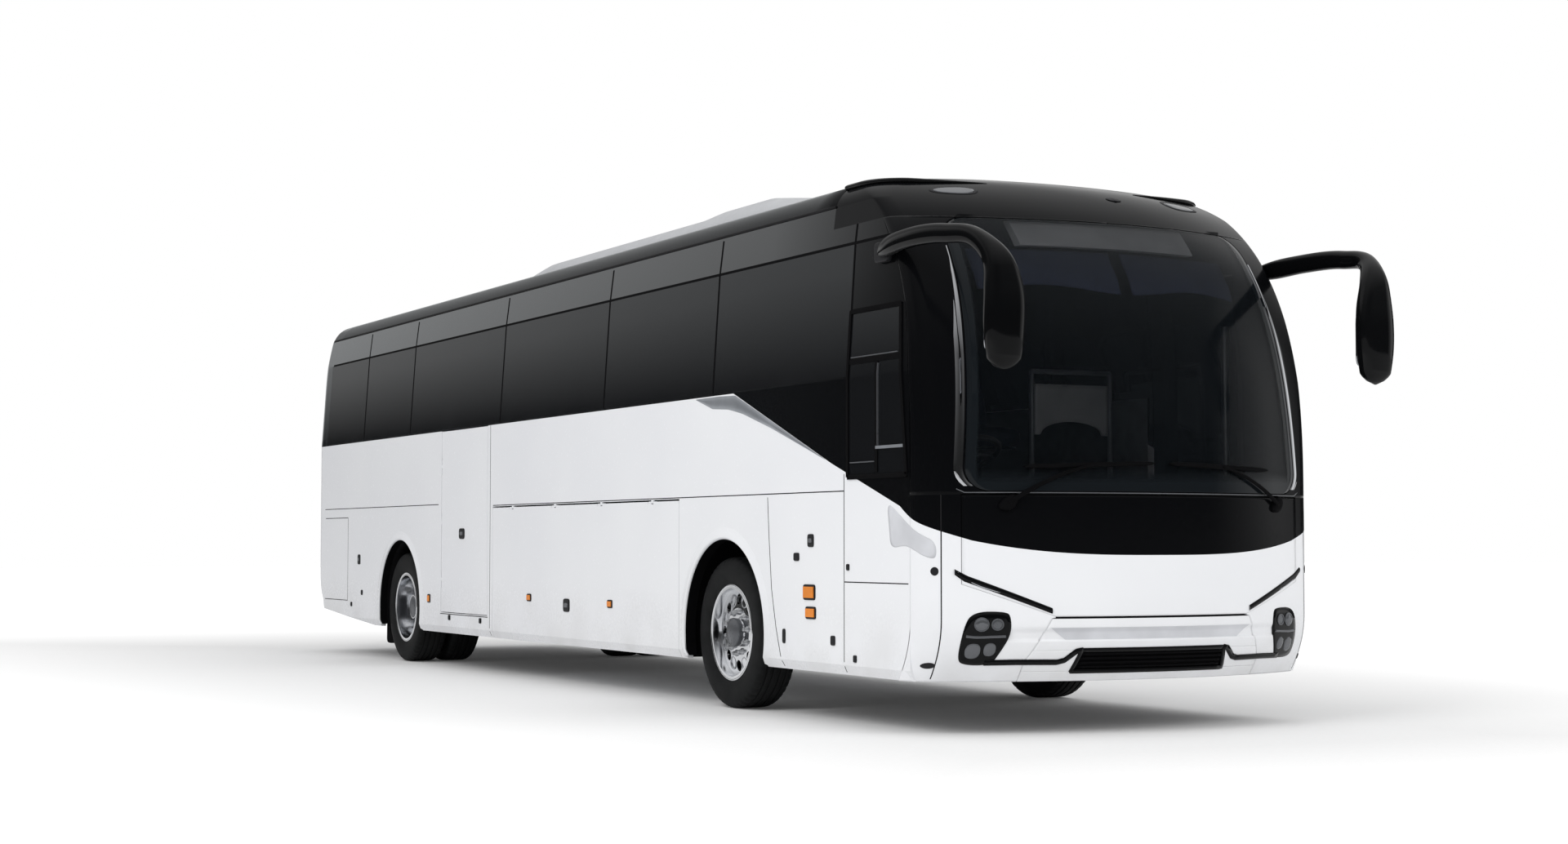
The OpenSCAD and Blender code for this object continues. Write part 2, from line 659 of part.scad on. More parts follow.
// Door windows: lower and upper edge
leaf_rows = [[520, 1215], [1345, 2490]];
leaf_side = 95;
leaf_lip = 30;
module leaf_window(r, g) block([fa + entry_x0 + leaf_side - g, half_w - wall_t - 80, r[0] - g],
    [fa + entry_x1 - leaf_side + g, half_w + 10, r[1] + g]);
post_p = [fa + entry_x1 - 60, half_w - wall_t - 56];
hook_p = post_p + door_arm_l * [-cos(door_arm_in), -sin(door_arm_in)];
arm_z = 1225;
arm_h = 110;
arm_w = 40;
post_r = 20;
post_down = 310;
hook_r = 12;
module passenger_door() color(black) {
    difference() {
        intersection() {
            wall(0, wall_t, fa + entry_x0, fa + entry_x1);
            entry_hole(door_gap);
        }
        intersection() {
            wall(-5, glass_t, fa + entry_x0, fa + entry_x1);
            for (r = leaf_rows) leaf_window(r, 3);
        }
        for (r = leaf_rows) leaf_window(r, -leaf_lip);
    }
    for (z = [arm_z - 42, arm_z + arm_h + 12]) block([hook_p[0] - 30, hook_p[1] - 25, z],
        [hook_p[0] + 30, half_w - wall_t + 2, z + 30]);
    translate([hook_p[0], hook_p[1], arm_z - 30]) cylinder(r = hook_r, h = arm_h + 60);
}
module passenger_door_glass() color("slategray") intersection() {
    wall(0, glass_t - seat, fa + entry_x0, fa + entry_x1);
    for (r = leaf_rows) leaf_window(r, 0);
}
module door_arm() color(dark) translate([0, 0, arm_z]) difference() {
    union() {
        translate(post_p) cylinder(r = post_r + 12, h = arm_h);
        translate(hook_p) cylinder(r = hook_r + 12, h = arm_h);
        translate([0, 0, 30]) linear_extrude(arm_h - 60) bar(hook_p, post_p, arm_w);
    }
    translate([post_p[0], post_p[1], -1]) cylinder(r = post_r + run, h = arm_h + 2);
    translate([hook_p[0], hook_p[1], -1]) cylinder(r = hook_r + run, h = arm_h + 2);
}
step_z = [400, 620, 840, 1065];
step_run = 255;
module door_post() color(metal) {
    translate([post_p[0], post_p[1], step_z[0]]) cylinder(r = post_r, h = entry_z1 - post_down - step_z[0]);
    translate([post_p[0], post_p[1], arm_z - 20]) cylinder(r = post_r + 10, h = 20 - seat);
}

// Structure below the floor

rail_y = 430;
rail_w = 60;
rail_low = skirt_z + 5;
rail_low_h = 60;
front_rail_z = 680;
cab_floor_z = 840;
deck_t = 60;
rear_rail_z = 760;
rear_rail_h = 120;
web = 60;
deck_low = floor_z - deck_t;
cab_low = cab_floor_z - 40;
rail_x = [rear_x + 290, fa + pack_x0 - 90, fa + bay_x1 - 30, fa + 2420];
// Cross-members: place, lower edge, height
cross_rows = [[rear_x + 330, rear_rail_z, rear_rail_h], [ra - 800, rear_rail_z, rear_rail_h], [ra + 560, rear_rail_z, rear_rail_h],
    [rail_x[1] + 30, rail_low, 60], [fa - 3000, rail_low, 60], [fa - 1500, rail_low, 60], [rail_x[2] + 30, rail_low, 60],
    [fa + 880, front_rail_z, 120], [fa + 2300, front_rail_z, 120]];
module chassis_frame() color(dark) {
    for (s = [-1, 1]) side(s) across(rail_y - rail_w / 2, rail_y + rail_w / 2) polygon([
        [rail_x[0], rear_rail_z], [rail_x[1], rear_rail_z], [rail_x[1], rail_low], [rail_x[2] + web, rail_low],
        [rail_x[2] + web, front_rail_z], [rail_x[3], front_rail_z], [rail_x[3], cab_low], [rail_x[2], cab_low],
        [rail_x[2], rail_low + rail_low_h], [rail_x[1] + web, rail_low + rail_low_h],
        [rail_x[1] + web, deck_low], [rail_x[1], deck_low], [rail_x[1], rear_rail_z + rear_rail_h],
        [rail_x[0] + web, rear_rail_z + rear_rail_h], [rail_x[0] + web, deck_low], [rail_x[0], deck_low]]);
    for (c = cross_rows) block([c[0] - 40, -rail_y, c[1]], [c[0] + 40, rail_y, c[1] + c[2]]);
}
stair_x = [fa + entry_x0 + 30, fa + entry_x1 + 30];
stair_in = half_w - wall_t - 4 * step_run;
cab_x = fa + 700;
cab_front = fa + 2440;
cab_corner = [fa + 2320, 1000];
module floor_deck() color(dark) difference() {
    across(-half_w + wall_t + seat, half_w - wall_t - seat) polygon([[rear_split + 10, deck_low], [cab_x, deck_low],
        [cab_x, cab_low], [cab_front, cab_low], [cab_front, cab_floor_z], [cab_x + 50, cab_floor_z],
        [cab_x + 50, floor_z], [rear_split + 10, floor_z]]);
    block([stair_x[0] - seat, stair_in - seat, 0], [stair_x[1] + seat, half_w, floor_z + 1]);
    for (s = [-1, 1]) side(s) linear_extrude(floor_z) polygon([[cab_front + 1, cab_corner[1]],
        [cab_corner[0], half_w], [cab_front + 1, half_w]]);
}
module entry_steps() color(dark) difference() {
    along(stair_x[0], stair_x[1]) polygon(concat([[stair_in, 350], [half_w - wall_t - 8, 350]],
        [for (k = [0:3], e = [0, 1]) [half_w - wall_t - 8 - (k + e) * step_run + (k + e == 4 ? 8 : 0), step_z[k]]]));
    block([stair_x[0] - 1, rail_y - rail_w / 2 - seat, front_rail_z - seat],
        [stair_x[1] + 1, rail_y + rail_w / 2 + seat, cab_low + seat]);
}
pan_t = 14;
module luggage_bay() color("gray") {
    x0 = fa + bay_x0 + 40;
    x1 = rail_x[2] - seat;
    y = half_w - wall_t - 20;
    across(-y, y) polygon([[x0, rail_low + rail_low_h], [x1, rail_low + rail_low_h], [x1, deck_low], [x1 - pan_t, deck_low],
        [x1 - pan_t, rail_low + rail_low_h + pan_t], [x0 + pan_t, rail_low + rail_low_h + pan_t], [x0 + pan_t, deck_low],
        [x0, deck_low]]);
}
module battery_pack() color("steelblue") block([rail_x[1] + web + 10, -half_w + wall_t + 60, rail_low + rail_low_h],
    [fa + bay_x0 - 20, half_w - wall_t - 60, deck_low - 40]);
motor_r = 250;
motor_l = 700;
motor_z = rear_rail_z - 120;
hanger_w = 350;
module drive_motor() color("slategray") {
    translate([rail_x[0] + motor_r, 0, motor_z]) rotate([0, 90, 0]) cylinder(r = motor_r, h = motor_l);
    for (s = [-1, 1]) side(s) translate([rail_x[0] + motor_r + (motor_l - hanger_w) / 2, 0, 0]) {
        block([0, motor_r - 100, motor_z - 80], [hanger_w, rail_y - rail_w / 2, motor_z]);
        block([0, rail_y - rail_w / 2 - 60, motor_z - 80], [hanger_w, rail_y - rail_w / 2, rear_rail_z + 100]);
    }
}

// Axles and steering

wheel_y = half_w - wheel_inset - tyre_w / 2;
king_y = wheel_y - kingpin_offset;
boss_r = kingpin_r + 30;
boss_h = 140;
ear_gap = 8;
ear_h = 42;
beam = [90, 110];
tie_z = tyre_r - boss_h / 2 - ear_gap - ear_h;
tie_pin_r = 14;
tie_rod_r = 20;
eye_r = 28;
module front_axle() color(dark) difference() {
    union() {
        block([fa - beam[0] / 2, -king_y, tyre_r - beam[1] / 2], [fa + beam[0] / 2, king_y, tyre_r + beam[1] / 2]);
        for (s = [-1, 1]) translate([fa, s * king_y, tyre_r - boss_h / 2]) cylinder(r = boss_r, h = boss_h);
        for (s = [-1, 1]) block([fa - 120, s * rail_y - 110, tyre_r + beam[1] / 2 - 20],
            [fa + 120, s * rail_y + 110, spring_z0]);
    }
    for (s = [-1, 1]) translate([fa, s * king_y, 0]) cylinder(r = kingpin_r, h = 2 * tyre_r);
}
spring_z0 = tyre_r + 80;
web_in = boss_r + 7;
web_t = 33;
web_half = boss_r - 7;
// Knuckle: kingpin, two ears, web, spindle and steering arm, seen on the left side
module knuckle(s) translate([fa, 0, 0]) side(s) {
    reach = boss_h / 2 + ear_gap + ear_h;
    translate([0, king_y, tyre_r - reach]) cylinder(r = kingpin_r - run, h = 2 * reach);
    for (z = [tyre_r - reach, tyre_r + reach - ear_h]) translate([0, king_y, z]) linear_extrude(ear_h) union() {
        circle(boss_r);
        translate([-web_half, 0]) square([2 * web_half, web_in + web_t]);
    }
    block([-web_half, king_y + web_in, tyre_r - reach], [web_half, king_y + web_in + web_t, tyre_r + reach]);
    translate([0, king_y + web_in + web_t - 5, tyre_r]) rotate([-90, 0, 0])
        cylinder(r = spindle_r, h = wheel_y + hub_out - king_y - web_in - web_t);
    translate([0, king_y, tie_z + 4]) linear_extrude(ear_h - 10) union() {
        bar([-arm_l, 0], [0, 0], 48);
        translate([-arm_l, 0]) circle(26);
    }
    translate([-arm_l, king_y, tie_z - 60]) cylinder(r = tie_pin_r, h = 70);
}
module knuckle_right() color(dark) knuckle(-1);
module knuckle_left() color(dark) knuckle(1);
// Tie rod under the arms: running eye on the right pin, loose eye on the left pin
loose = 6;
module tie_rod() color(metal) translate([fa - arm_l, 0, tie_z - 50]) difference() {
    union() {
        for (s = [-1, 1]) translate([0, s * king_y, 0]) cylinder(r = eye_r, h = 44);
        translate([0, king_y, 22]) rotate([90, 0, 0]) cylinder(r = tie_rod_r, h = 2 * king_y);
    }
    translate([0, -king_y, -1]) cylinder(r = tie_pin_r + run, h = 46);
    translate([0, king_y, -1]) cylinder(r = tie_pin_r + loose, h = 46);
}

// Tyre, rim and hub turn about their own axis, outer side up
tread_half = tyre_w / 2 - 28;
module tyre() rotate_extrude($fn = 120) polygon([[rim_r + 1, -tyre_w / 2 + 28], [rim_r + 90, -tyre_w / 2],
    [tyre_r - 30, -tyre_w / 2 + 4], [tyre_r, -tread_half], [tyre_r, tread_half], [tyre_r - 30, tyre_w / 2 - 4],
    [rim_r + 90, tyre_w / 2], [rim_r + 1, tyre_w / 2 - 28]]);
hub_out = 40;
hub_r = 110;
hand_holes = 8;
hand_r = 34;
hand_pcd_r = 205;
rim_half = tyre_w / 2 - 16;
module rim_barrel() rotate_extrude($fn = 120) polygon([[rim_r - 16, -rim_half], [rim_r + 11, -rim_half],
    [rim_r + 11, -rim_half + 8], [rim_r + 0.7, -rim_half + 11.5], [rim_r + 0.7, rim_half - 11.5], [rim_r + 11, rim_half - 8],
    [rim_r + 11, rim_half], [rim_r - 16, rim_half]]);
module hand_cuts(z0, h) for (k = [0:hand_holes - 1]) rotate(k * 360 / hand_holes)
    translate([hand_pcd_r, 0, z0]) cylinder(r = hand_r, h = h);
disc_t = 14;
module front_rim() difference() {
    union() {
        rim_barrel();
        translate([0, 0, 50]) rotate_extrude() polygon([[spindle_r + 5, 0], [hub_r + 40, 0], [rim_r - 8, -14],
            [rim_r - 8, disc_t - 14], [hub_r + 40, disc_t], [spindle_r + 5, disc_t]]);
        translate([0, 0, -45]) cylinder(r = hub_r - 20, h = 105);
        cylinder(r = 84, h = 105);
    }
    hand_cuts(20, 80);
    translate([0, 0, -80]) cylinder(r = spindle_r + run, h = 80 + hub_out + 8);
}
twin = tyre_w + twin_gap;
// Twin rims: outer wheel's middle plane at zero, the inner one below it
module rear_rims() difference() {
    union() {
        rim_barrel();
        translate([0, 0, -twin]) rim_barrel();
        translate([0, 0, -twin / 2 - disc_t]) rotate_extrude() polygon([[stub_r + 5, 0], [rim_r - 60, 0],
            [rim_r - 60, 2 * disc_t], [stub_r + 5, 2 * disc_t]]);
        for (s = [0, 1]) translate([0, 0, -twin / 2]) mirror([0, 0, s]) rotate_extrude() polygon([
            [rim_r - 70, -disc_t], [rim_r - 50, -disc_t], [rim_r - 4, twin / 2 - rim_half + 8],
            [rim_r - 4, twin / 2 - rim_half + 34], [rim_r - 20, twin / 2 - rim_half + 34], [rim_r - 70, disc_t]]);
        translate([0, 0, -twin / 2 - 120]) cylinder(r = hub_r + 20, h = 240);
        translate([0, 0, -twin / 2 + 110]) cylinder(r = hub_r - 10, h = 90);
    }
    hand_cuts(-twin / 2 - 60, 120);
    translate([0, 0, -twin / 2 - 130]) cylinder(r = stub_r + run, h = 270);
}
module at_wheel(x, s) translate([x, s * wheel_y, tyre_r]) rotate([-90 * s, 0, 0]) children();
module front_tyre_right() color(black) at_wheel(fa, -1) tyre();
module front_tyre_left() color(black) at_wheel(fa, 1) tyre();
module front_rim_right() color(metal) at_wheel(fa, -1) front_rim();
module front_rim_left() color(metal) at_wheel(fa, 1) front_rim();
module twin_tyres() {
    tyre();
    translate([0, 0, -twin]) tyre();
}
module rear_tyres_right() color(black) at_wheel(ra, -1) twin_tyres();
module rear_tyres_left() color(black) at_wheel(ra, 1) twin_tyres();
module rear_rims_right() color(metal) at_wheel(ra, -1) rear_rims();
module rear_rims_left() color(metal) at_wheel(ra, 1) rear_rims();

axle_r = 78;
axle_end = wheel_y - twin / 2 + 110;
bulb_r = 200;
module rear_axle() color(dark) translate([ra, 0, tyre_r]) {
    rotate([-90, 0, 0]) {
        translate([0, 0, -axle_end]) cylinder(r = stub_r, h = 2 * axle_end);
        translate([0, 0, -wheel_y + twin / 2 + 140]) cylinder(r = axle_r, h = 2 * (wheel_y - twin / 2 - 140));
        rotate_extrude() polygon([[0, -150], [110, -150], [bulb_r, -60], [bulb_r, 60], [110, 150], [0, 150]]);
    }
    for (s = [-1, 1]) block([-120, s * rail_y - 110, 20], [120, s * rail_y + 110, spring_z0 - tyre_r]);
}
module air_springs() color(black) {
    for (p = [[fa, front_rail_z], [ra, rear_rail_z]], s = [-1, 1]) translate([p[0], s * rail_y, spring_z0])
        rotate_extrude() polygon([[0, 0], [90, 0], [105, 20], [105, (p[1] - spring_z0) / 2 - 10], [92, (p[1] - spring_z0) / 2],
            [105, (p[1] - spring_z0) / 2 + 10], [105, p[1] - spring_z0 - 20], [90, p[1] - spring_z0], [0, p[1] - spring_z0]]);
}

// Inside

// Side outline of a seat: back to front and height above its floor
seat_pts = [[-90, 0], [60, 0], [40, 360], [260, 380], [300, 440], [250, 500], [-110, 470], [-330, 1120], [-420, 1130],
    [-430, 1060],
    [-220, 380], [-100, 350]];
seat_pitch = 790;
seat_rows = 10;
seat_first = -650;
seat_w = 920;
driver_w = 520;
seat_y = half_w - wall_t - 35 - seat_w / 2;
module seat_pair(w) across(-w / 2, w / 2) polygon(seat_pts);
module seats() color("slateblue") {
    for (s = [-1, 1], k = [0:seat_rows - 1])
        translate([fa + seat_first - k * seat_pitch, s * seat_y, floor_z]) seat_pair(seat_w);
    translate([fa + 1250, -seat_y, cab_floor_z]) seat_pair(driver_w);
}
dash_pts = [[2020, cab_floor_z], [2400, cab_floor_z], [2440, 1330], [2330, 1370], [2060, 1330], [1960, 1220],
    [1990, 1160], [2120, 1100]];
dash_half = 1080;
module dash_form() across(-dash_half, dash_half) translate([fa, 0]) polygon(dash_pts);
module dashboard() color(black) dash_form();
wheel_tilt = 25;
module steering_wheel() color(black) difference() {
    translate([fa + 1930, -seat_y, cab_floor_z + 660]) rotate([0, -wheel_tilt, 0]) {
        rotate_extrude() translate([225, 0]) circle(16, $fn = 32);
        for (a = [90, 210, 330]) rotate(a) translate([0, -18, -8]) cube([215, 36, 16]);
        cylinder(r = 60, h = 30, center = true);
        translate([0, 0, -300]) cylinder(r = 28, h = 300);
    }
    translate([-seat, 0, seat]) dash_form();
}

chassis_frame();
floor_deck();
luggage_bay();
entry_steps();
side_frame_right();
side_frame_left();
skirt_right();
skirt_left();
side_glass_right();
side_glass_left();
roof();
roof_pod();
front_mask();
front_header();
windscreen();
sign_box();
front_lid();
front_bumper();
front_grille();
front_lamps();
marker_lamps();
bay_markers_right();
bay_markers_left();
wipers();
mirror_right();
mirror_left();
rear_wall();
rear_window();
tail_lamps();
rear_surround();
motor_bay_door();
luggage_door_right();
luggage_door_left();
battery_bay_door();
passenger_door();
passenger_door_glass();
door_arm();
door_post();
front_axle();
knuckle_right();
knuckle_left();
tie_rod();
front_tyre_right();
front_tyre_left();
front_rim_right();
front_rim_left();
rear_tyres_right();
rear_tyres_left();
rear_rims_right();
rear_rims_left();
rear_axle();
air_springs();
drive_motor();
battery_pack();
seats();
dashboard();
steering_wheel();
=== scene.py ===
import math
import bmesh
import bpy
import numpy as np
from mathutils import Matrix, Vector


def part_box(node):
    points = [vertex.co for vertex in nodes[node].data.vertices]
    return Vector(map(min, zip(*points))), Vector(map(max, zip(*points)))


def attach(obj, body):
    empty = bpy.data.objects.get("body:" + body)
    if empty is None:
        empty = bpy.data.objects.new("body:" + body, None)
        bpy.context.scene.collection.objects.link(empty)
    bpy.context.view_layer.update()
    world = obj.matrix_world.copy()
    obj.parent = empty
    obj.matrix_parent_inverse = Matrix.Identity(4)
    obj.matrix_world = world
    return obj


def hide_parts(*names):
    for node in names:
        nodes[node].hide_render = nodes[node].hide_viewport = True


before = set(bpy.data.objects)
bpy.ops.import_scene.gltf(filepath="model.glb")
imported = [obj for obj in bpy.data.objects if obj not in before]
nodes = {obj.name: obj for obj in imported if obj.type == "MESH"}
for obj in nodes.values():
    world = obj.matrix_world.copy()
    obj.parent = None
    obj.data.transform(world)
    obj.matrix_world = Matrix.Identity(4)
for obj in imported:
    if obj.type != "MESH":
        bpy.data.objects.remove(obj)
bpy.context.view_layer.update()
print("frame loaded:", len(nodes), "nodes")

# camera at the photograph's view, in the object's frame: metres, degrees and pixels
cameraSet = {
    "place": (16.244, -7.518, 1.019), "yaw": 63.34, "pitch": 2.9, "focalPx": 2914, "imageWide": 1920,
    "sensor": 36, "reach": 400,
}
cameraData = bpy.data.cameras.new("camera")
cameraData.sensor_width = cameraSet["sensor"]
cameraData.lens = cameraSet["focalPx"] * cameraSet["sensor"] / cameraSet["imageWide"]
cameraData.clip_end = cameraSet["reach"]
camera = bpy.data.objects.new("camera", cameraData)
camera.location = cameraSet["place"]
camera.rotation_euler = (math.radians(90 + cameraSet["pitch"]), 0, math.radians(cameraSet["yaw"]))
bpy.context.scene.collection.objects.link(camera)
bpy.context.scene.camera = camera
bpy.context.scene.view_settings.view_transform = "Standard"

# main sizes of the body, read from the frame where a node gives them
coach = {
    "frontX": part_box("front_lid")[1][0],
    "rearX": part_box("rear_wall")[0][0],
    "halfW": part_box("skirt_left")[1][1],
    "skirtZ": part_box("front_mask")[0][2],
    "frontAxle": sum(c[0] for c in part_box("front_tyre_right")) / 2,
    "rearAxle": sum(c[0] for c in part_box("rear_tyres_right")) / 2,
    "tyreR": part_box("front_tyre_right")[1][2] / 2,
    "gutterZ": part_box("roof")[0][2], "roofZ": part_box("roof")[1][2],
    "roofSplit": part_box("roof")[1][0], "rearSplit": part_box("roof")[0][0],
    "headerZ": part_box("front_header")[0][2],
    "screenZ": 1.274, "beltZ": 1.932, "glassTopZ": 2.688,
    "leanGlass": 0.05, "leanGutter": 0.08, "tuck": 0.025, "tuckHigh": 0.055,
    "planR": 2.6, "cornerR": 0.22, "pillarR": 0.12, "domeR": 0.30, "pillarRun": 0.5,
}
frontX, rearX, halfW, tyreR = (coach[k] for k in ("frontX", "rearX", "halfW", "tyreR"))
frontAxle, rearAxle, roofZ, gutterZ = (coach[k] for k in ("frontAxle", "rearAxle", "roofZ", "gutterZ"))
sides = ((-1, "right"), (1, "left"))


# shader wires: a socket with arithmetic, and one method for every other node
class Wire:
    def __init__(self, tree, socket=None):
        self.tree = tree
        self.socket = socket

    def node(self, kind, settings=None, sockets=None, out=0):
        # new node with its settings and sockets, and a wire from one output
        made = self.tree.nodes.new("ShaderNode" + kind)
        for key, value in (settings or {}).items():
            setattr(made, key, value)
        for key, value in (sockets or {}).items():
            if isinstance(value, Wire):
                self.tree.links.new(value.socket, made.inputs[key])
            else:
                made.inputs[key].default_value = value
        return Wire(self.tree, made.outputs[out]) if made.outputs else None

    def maths(self, operation, a, b=0.0):
        return self.node("Math", {"operation": operation}, {0: a, 1: b})

    def __add__(self, other):
        return self.maths("ADD", self, other)

    def __sub__(self, other):
        return self.maths("SUBTRACT", self, other)

    def __rsub__(self, other):
        return self.maths("SUBTRACT", other, self)

    def __mul__(self, other):
        return self.maths("MULTIPLY", self, other)

    def __gt__(self, other):
        return self.maths("GREATER_THAN", self, other)

    def __pow__(self, other):
        return self.maths("POWER", self, other)

    __radd__ = __add__
    __rmul__ = __mul__

    def size(self):
        return self.maths("ABSOLUTE", self)

    def ramp(self, low, high):
        # share of the way from low to high, held between 0 and 1
        return self.node("MapRange", {"clamp": True}, {"Value": self, "From Min": low, "From Max": high})


def mixColour(wire, factor, a, b):
    # the second colour over the first by the factor
    return wire.node("MixRGB", {}, {"Fac": factor, "Color1": a, "Color2": b})


def startMaterial(name):
    # empty material, its wire and the Object coordinates
    material = bpy.data.materials.new(name)
    material.use_nodes = True
    tree = material.node_tree
    tree.nodes.clear()
    wire = Wire(tree)
    place = wire.node("TexCoord", {}, {}, 3)
    return material, wire, place


def finishMaterial(material, wire, **sockets):
    # one principled shader; an underscore in a name stands for a space
    shader = wire.node("BsdfPrincipled", {}, {k.replace("_", " "): v for k, v in sockets.items()})
    wire.node("OutputMaterial", {}, {"Surface": shader})
    return material


def noise(wire, place, scale, detail=3.0):
    # fractal noise of the place, about 0 to 1
    return wire.node("TexNoise", {}, {"Vector": place, "Scale": scale, "Detail": detail})


def axes(wire, place):
    # the three parts of a vector
    split = wire.tree.nodes.new("ShaderNodeSeparateXYZ")
    wire.tree.links.new(place.socket, split.inputs[0])
    return [Wire(wire.tree, s) for s in split.outputs]


def bump(wire, height, strength, distance):
    # normal tilted by the slope of a height
    return wire.node("Bump", {}, {"Strength": strength, "Distance": distance, "Height": height})


# two-tone paint: white below a sloping border, gloss black above it
skyTint = (0.86, 0.95, 1.0, 1)  # cool tone of reflections in the dark paint and the glass
border = {
    "belt": 1.929, "rearPlace": (0.204, 1.918), "rearSlope": -0.3626,
    "frontPlace": (1.709, 1.383), "frontSlope": -0.321, "noseLow": 0.952, "noseRise": 0.140,
    "cornerFrom": 2.24, "cornerTo": 2.60, "glossFrom": 0.60, "glossTo": 2.20,
}
paintTones = {
    "white": (0.79, 0.80, 0.83, 1), "paler": (0.84, 0.85, 0.87, 1), "grime": (0.46, 0.45, 0.43, 1),
    "black": (0.0030, 0.0032, 0.0038, 1), "grimeLow": 0.28, "grimeHigh": 0.75, "grimeShare": 0.35,
}


def coachPaint():
    # border: two sloping lines under the belt, blended round the corner into a cubic curve across the nose
    material, wire, place = startMaterial("coachPaint")
    x, y, z = axes(wire, place)
    ahead = x - frontAxle
    rear = (ahead - border["rearPlace"][0]) * border["rearSlope"] + border["rearPlace"][1]
    front = (ahead - border["frontPlace"][0]) * border["frontSlope"] + border["frontPlace"][1]
    side = wire.maths("MINIMUM", wire.maths("MAXIMUM", rear, front), border["belt"])
    nose = (y.size() * (1 / halfW)) ** 3.0 * border["noseRise"] + border["noseLow"]
    corner = ahead.ramp(border["cornerFrom"], border["cornerTo"])
    line = side * (1 - corner) + nose * corner
    dark = z > line
    low = 1 - z.ramp(paintTones["grimeLow"], paintTones["grimeHigh"])
    grime = low * noise(wire, place, 3.0, 6.0).ramp(0.35, 0.8) * paintTones["grimeShare"]
    tone = noise(wire, place, 0.6, 2.0).ramp(0.3, 0.7)
    white = mixColour(wire, tone, paintTones["white"], paintTones["paler"])
    white = mixColour(wire, grime, white, paintTones["grime"])
    colour = mixColour(wire, dark, white, paintTones["black"])
    fine = noise(wire, place, 60.0, 4.0)
    rough = 0.20 + fine.ramp(0.3, 0.7) * 0.08 - dark * 0.09 + grime * 0.5
    peel = bump(wire, noise(wire, place, 420.0, 2.0), 0.012, 0.002)
    band = dark * (1 - ahead.ramp(border["glossFrom"], border["glossTo"]))  # as glossy as the glass in it
    return finishMaterial(material, wire, Base_Color=colour, Roughness=rough, Normal=peel, IOR=1.14,
                          Coat_Weight=band, Coat_Roughness=0.05, Coat_Tint=skyTint)


def plainFinish(name, colour, rough, metal=0.0, scale=40.0, depth=0.02, spread=0.10, shift=0.12,
                coat=0.0, ior=1.4, glow=0.0, tint=(1, 1, 1, 1)):
    # broad noise shifts the colour both ways, fine noise spreads the roughness and lifts the bump
    material, wire, place = startMaterial(name)
    grain = noise(wire, place, scale, 5.0)
    broad = noise(wire, place, scale / 14, 3.0)
    light = tuple(min(1.0, c * (1 + shift)) for c in colour) + (1,)
    deep = tuple(c * (1 - shift) for c in colour) + (1,)
    tone = mixColour(wire, broad.ramp(0.3, 0.7), deep, light)
    return finishMaterial(material, wire, Base_Color=tone, Roughness=grain.ramp(0.25, 0.75) * spread + rough,
                          Metallic=metal, Normal=bump(wire, grain, depth, 0.004), IOR=ior, Coat_Weight=coat,
                          Coat_Tint=tint, Emission_Color=colour + (1,), Emission_Strength=glow)


def glassFinish(name, colour, clear, rough=0.03):
    # cover grows with the facing angle, faint smears in the roughness
    material, wire, place = startMaterial(name)
    rim = wire.node("LayerWeight", {}, {"Blend": 0.35}, 1)
    smear = noise(wire, place, 2.2, 4.0)
    return finishMaterial(material, wire, Base_Color=colour, Roughness=smear.ramp(0.35, 0.75) * 0.04 + rough,
                          Alpha=wire.maths("MINIMUM", rim * 0.7 + clear, 1.0), IOR=1.46, Specular_Tint=skyTint)


screenShade = {
    "half": 1.085, "low": 1.29, "slope": 0.0667, "lowBand": (1.31, 1.40), "sideBand": (0.045, 0.065),
    "topBand": (2.40, 2.60), "topShare": 0.08,
}


def screenFinish(name, colour, clear):
    # clear in the middle, dark along the lower edge, the sides and the band under the roof
    material, wire, place = startMaterial(name)
    y, z = axes(wire, place)[1:]
    rim = wire.node("LayerWeight", {}, {"Blend": 0.35}, 1)
    edge = screenShade["half"] - (z - screenShade["low"]) * screenShade["slope"] - y.size()
    band = (1 - z.ramp(*screenShade["lowBand"])) + (1 - edge.ramp(*screenShade["sideBand"]))
    band = band + z.ramp(*screenShade["topBand"]) * screenShade["topShare"]
    smear = noise(wire, place, 2.2, 4.0)
    return finishMaterial(material, wire, Base_Color=colour, Roughness=smear.ramp(0.35, 0.75) * 0.04 + 0.03,
                          Alpha=wire.maths("MINIMUM", rim * 0.5 + clear + band, 1.0), IOR=1.24)


def brushedAlloy():
    # noise stretched round the axle, so that fine rings run about it
    material, wire, place = startMaterial("polishedAlloy")
    x, y, z = axes(wire, place)
    rings = wire.node("CombineXYZ", {}, {0: x * 3, 1: y * 260, 2: z * 3})
    lines = noise(wire, rings, 1.0, 4.0)
    tone = mixColour(wire, lines.ramp(0.3, 0.7), (0.66, 0.67, 0.69, 1), (0.88, 0.89, 0.91, 1))
    return finishMaterial(material, wire, Base_Color=tone, Metallic=1.0,
                          Roughness=lines.ramp(0.25, 0.75) * 0.10 + 0.09,
                          Normal=bump(wire, lines, 0.03, 0.002))


def clothFinish(name, colour):
    # diagonal weave in the bump, lighter flecks in the colour
    material, wire, place = startMaterial(name)
    weave = wire.node("TexWave", {"wave_type": "BANDS", "bands_direction": "DIAGONAL"},
                      {"Vector": place, "Scale": 120.0, "Distortion": 1.2})
    fleck = noise(wire, place, 90.0, 3.0)
    tone = mixColour(wire, fleck.ramp(0.4, 0.6), colour, tuple(c * 1.9 for c in colour[:3]) + (1,))
    return finishMaterial(material, wire, Base_Color=tone, Roughness=0.9,
                          Normal=bump(wire, weave, 0.25, 0.003))


